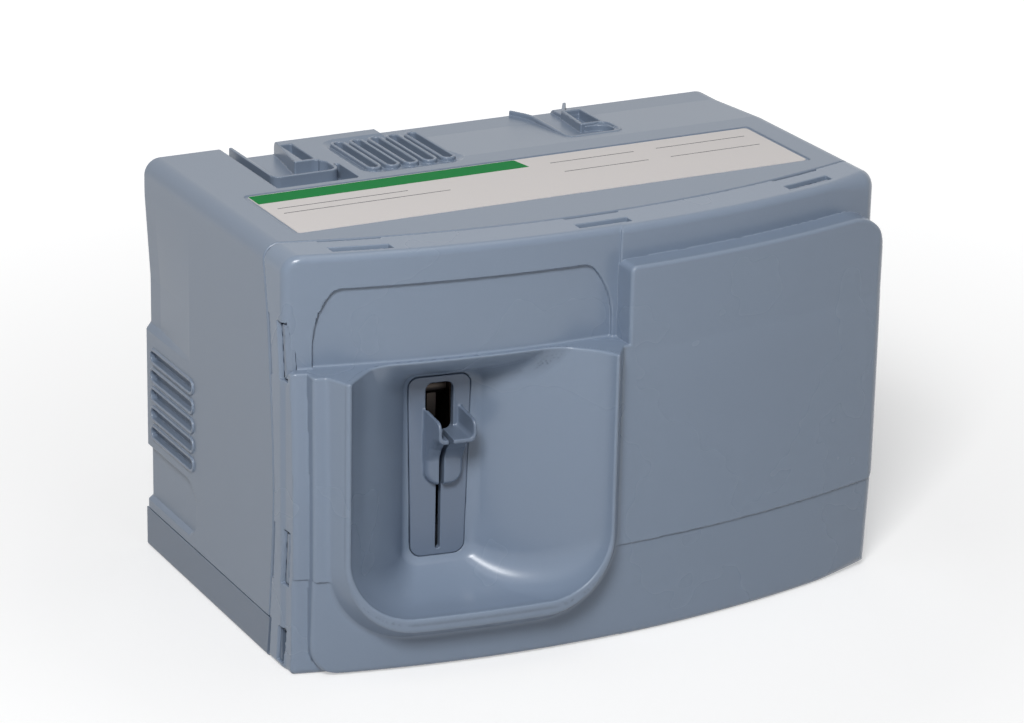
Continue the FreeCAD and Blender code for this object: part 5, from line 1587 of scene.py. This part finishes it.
@dataclass
class Studio:
    """Pale floor, plain soft light and the camera of the photograph."""
    camera_at: Tuple[float, float, float] = (-0.7755, -1.4316, 0.7111)
    azimuth: float = -28.17
    elevation: float = 20.46
    roll: float = 1.23
    lens: float = 132.1
    ambient: float = 0.1
    ambient_tint: Tuple[float, float, float] = (0.93, 0.96, 1.0)
    floor_radius: float = 4.0
    floor_sides: int = 96
    floor_grey: float = 0.58
    floor_glow: Tuple[float, float] = (0.46, 0.98)
    glow_from: Tuple[float, float] = (0.22, 1.1)
    lamps: Tuple[Lamp, ...] = (
        Lamp("lamp_key", (-1.06, -1.36, 1.65), (-0.05, -0.05, 0.1), (0.6, 0.6), 42.5),
        Lamp("lamp_top", (0.3, -0.2, 2.0), (0.05, 0.0, 0.1), (1.6, 0.8), 6.0),
        Lamp("lamp_rear", (0.5, 1.9, 0.36), (0.0, 0.1, 0.1), (0.8, 0.5), 5.5, False),
    )

    def seen_directly(self, wires: Wiring) -> Node:
        """One for rays from the camera, mirrors and glass, else zero.

        Args:
            wires: Helper of the material's node tree.

        Returns:
            The node that gives the value.
        """
        path = wires.add("ShaderNodeLightPath")
        both = wires.math("MAXIMUM", (path, "Is Camera Ray"), (path, "Is Glossy Ray"))
        return wires.math("MAXIMUM", (both, "Value"), (path, "Is Transmission Ray"))

    def world(self) -> None:
        """White surroundings with a plain level of light."""
        made = bpy.data.worlds.new("surroundings")
        bpy.context.scene.world = made
        made.use_nodes = True
        wires = Wiring(made.node_tree)
        output = wires.add("ShaderNodeOutputWorld")
        mix = wires.add("ShaderNodeMixShader")
        plain = wires.add("ShaderNodeBackground")
        plain.inputs["Color"].default_value = (*self.ambient_tint, 1)
        plain.inputs["Strength"].default_value = self.ambient
        white = wires.add("ShaderNodeBackground")
        white.inputs["Color"].default_value = (1, 1, 1, 1)
        white.inputs["Strength"].default_value = 1.0
        wires.link(self.seen_directly(wires), "Value", mix, "Fac")
        wires.tree.links.new(plain.outputs[0], mix.inputs[1])
        wires.tree.links.new(white.outputs[0], mix.inputs[2])
        wires.link(mix, "Shader", output, "Surface")

    def floor(self) -> None:
        """Round pale floor under the unit."""
        count = self.floor_sides
        turn = np.linspace(0, 2 * math.pi, count, endpoint=False)
        points = np.c_[np.cos(turn) * self.floor_radius, np.sin(turn) * self.floor_radius, np.zeros(count)]
        mesh = bpy.data.meshes.new("floor")
        mesh.from_pydata(points.tolist(), [], [list(range(count))])
        material = bpy.data.materials.new("floor_white")
        material.use_nodes = True
        wires = Wiring(material.node_tree)
        output = wires.add("ShaderNodeOutputMaterial")
        shader = wires.add("ShaderNodeBsdfDiffuse")
        shader.inputs["Color"].default_value = (*(self.floor_grey,) * 3, 1)
        glow = wires.add("ShaderNodeEmission")
        glow.inputs["Color"].default_value = (1, 1, 1, 1)
        place = wires.add("ShaderNodeTexCoord")
        away = wires.add("ShaderNodeVectorMath", operation="LENGTH")
        wires.link(place, "Object", away, "Vector")
        rise = wires.add("ShaderNodeMapRange")
        for name, value in zip(("From Min", "From Max", "To Min", "To Max"), self.glow_from + self.floor_glow):
            rise.inputs[name].default_value = value
        wires.link(away, "Value", rise, "Value")
        strength = wires.math("MULTIPLY", (self.seen_directly(wires), "Value"), (rise, "Result"))
        wires.link(strength, "Value", glow, "Strength")
        both = wires.add("ShaderNodeAddShader")
        wires.tree.links.new(shader.outputs[0], both.inputs[0])
        wires.tree.links.new(glow.outputs[0], both.inputs[1])
        wires.link(both, "Shader", output, "Surface")
        mesh.materials.append(material)
        made = bpy.data.objects.new("floor", mesh)
        bpy.context.scene.collection.objects.link(made)

    def light(self) -> None:
        """Adds the lamps."""
        for lamp in self.lamps:
            data = bpy.data.lights.new(lamp.name, "AREA")
            data.shape = "RECTANGLE"
            data.size, data.size_y = lamp.size
            data.energy = lamp.watts
            made = bpy.data.objects.new(lamp.name, data)
            made.location = lamp.place
            made.visible_glossy = lamp.mirrored
            way = Vector(lamp.aim) - Vector(lamp.place)
            made.rotation_euler = way.to_track_quat("-Z", "Y").to_euler()
            bpy.context.scene.collection.objects.link(made)

    def camera(self) -> None:
        """Puts the camera where the photograph was taken from."""
        turn, lift, roll = (math.radians(value) for value in (self.azimuth, self.elevation, self.roll))
        back = Vector((math.sin(turn) * math.cos(lift), -math.cos(turn) * math.cos(lift), math.sin(lift)))
        right = (-back).cross(Vector((0, 0, 1))).normalized()
        up = right.cross(-back)
        side = math.cos(roll) * right + math.sin(roll) * up
        head = -math.sin(roll) * right + math.cos(roll) * up
        data = bpy.data.cameras.new("camera")
        data.sensor_width = 36.0
        data.lens = self.lens
        data.clip_start = 0.05
        made = bpy.data.objects.new("camera", data)
        made.matrix_world = Matrix((
            (side.x, head.x, back.x, self.camera_at[0]),
            (side.y, head.y, back.y, self.camera_at[1]),
            (side.z, head.z, back.z, self.camera_at[2]),
            (0, 0, 0, 1)))
        bpy.context.scene.collection.objects.link(made)
        bpy.context.scene.camera = made

    def build(self) -> None:
        """Builds floor, light, surroundings and camera."""
        self.world()
        self.floor()
        self.light()
        self.camera()
        bpy.context.scene.view_settings.view_transform = "Standard"


def main() -> None:
    """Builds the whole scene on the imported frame."""
    logging.basicConfig(level=logging.INFO, format="%(message)s")
    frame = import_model()
    book = FinishBook(FINISHES)
    unit = Unit()
    FrontCover(unit).build(book["cover_satin"])
    RearHousing(unit).build(book["housing_satin"])
    SamplerPlate(unit).build(book["plate_satin"])
    soft = list(Label(book).build())
    for number in range(1, 5):
        soft.append(Pouch("reagent_pouch_%d" % number, book["pouch_film"], "pouch_film", 0.85).build(number))
    soft.append(Pouch("waste_pouch", book["waste_film"], "waste_film", 0.5).build(9))
    for piece in soft:
        LOG.info("%s: %d faces", piece.name, len(piece.data.polygons))
    InnerPieces(book, frame["nodes"]).dress()
    Studio().build()


if __name__ == "__main__":
    main()
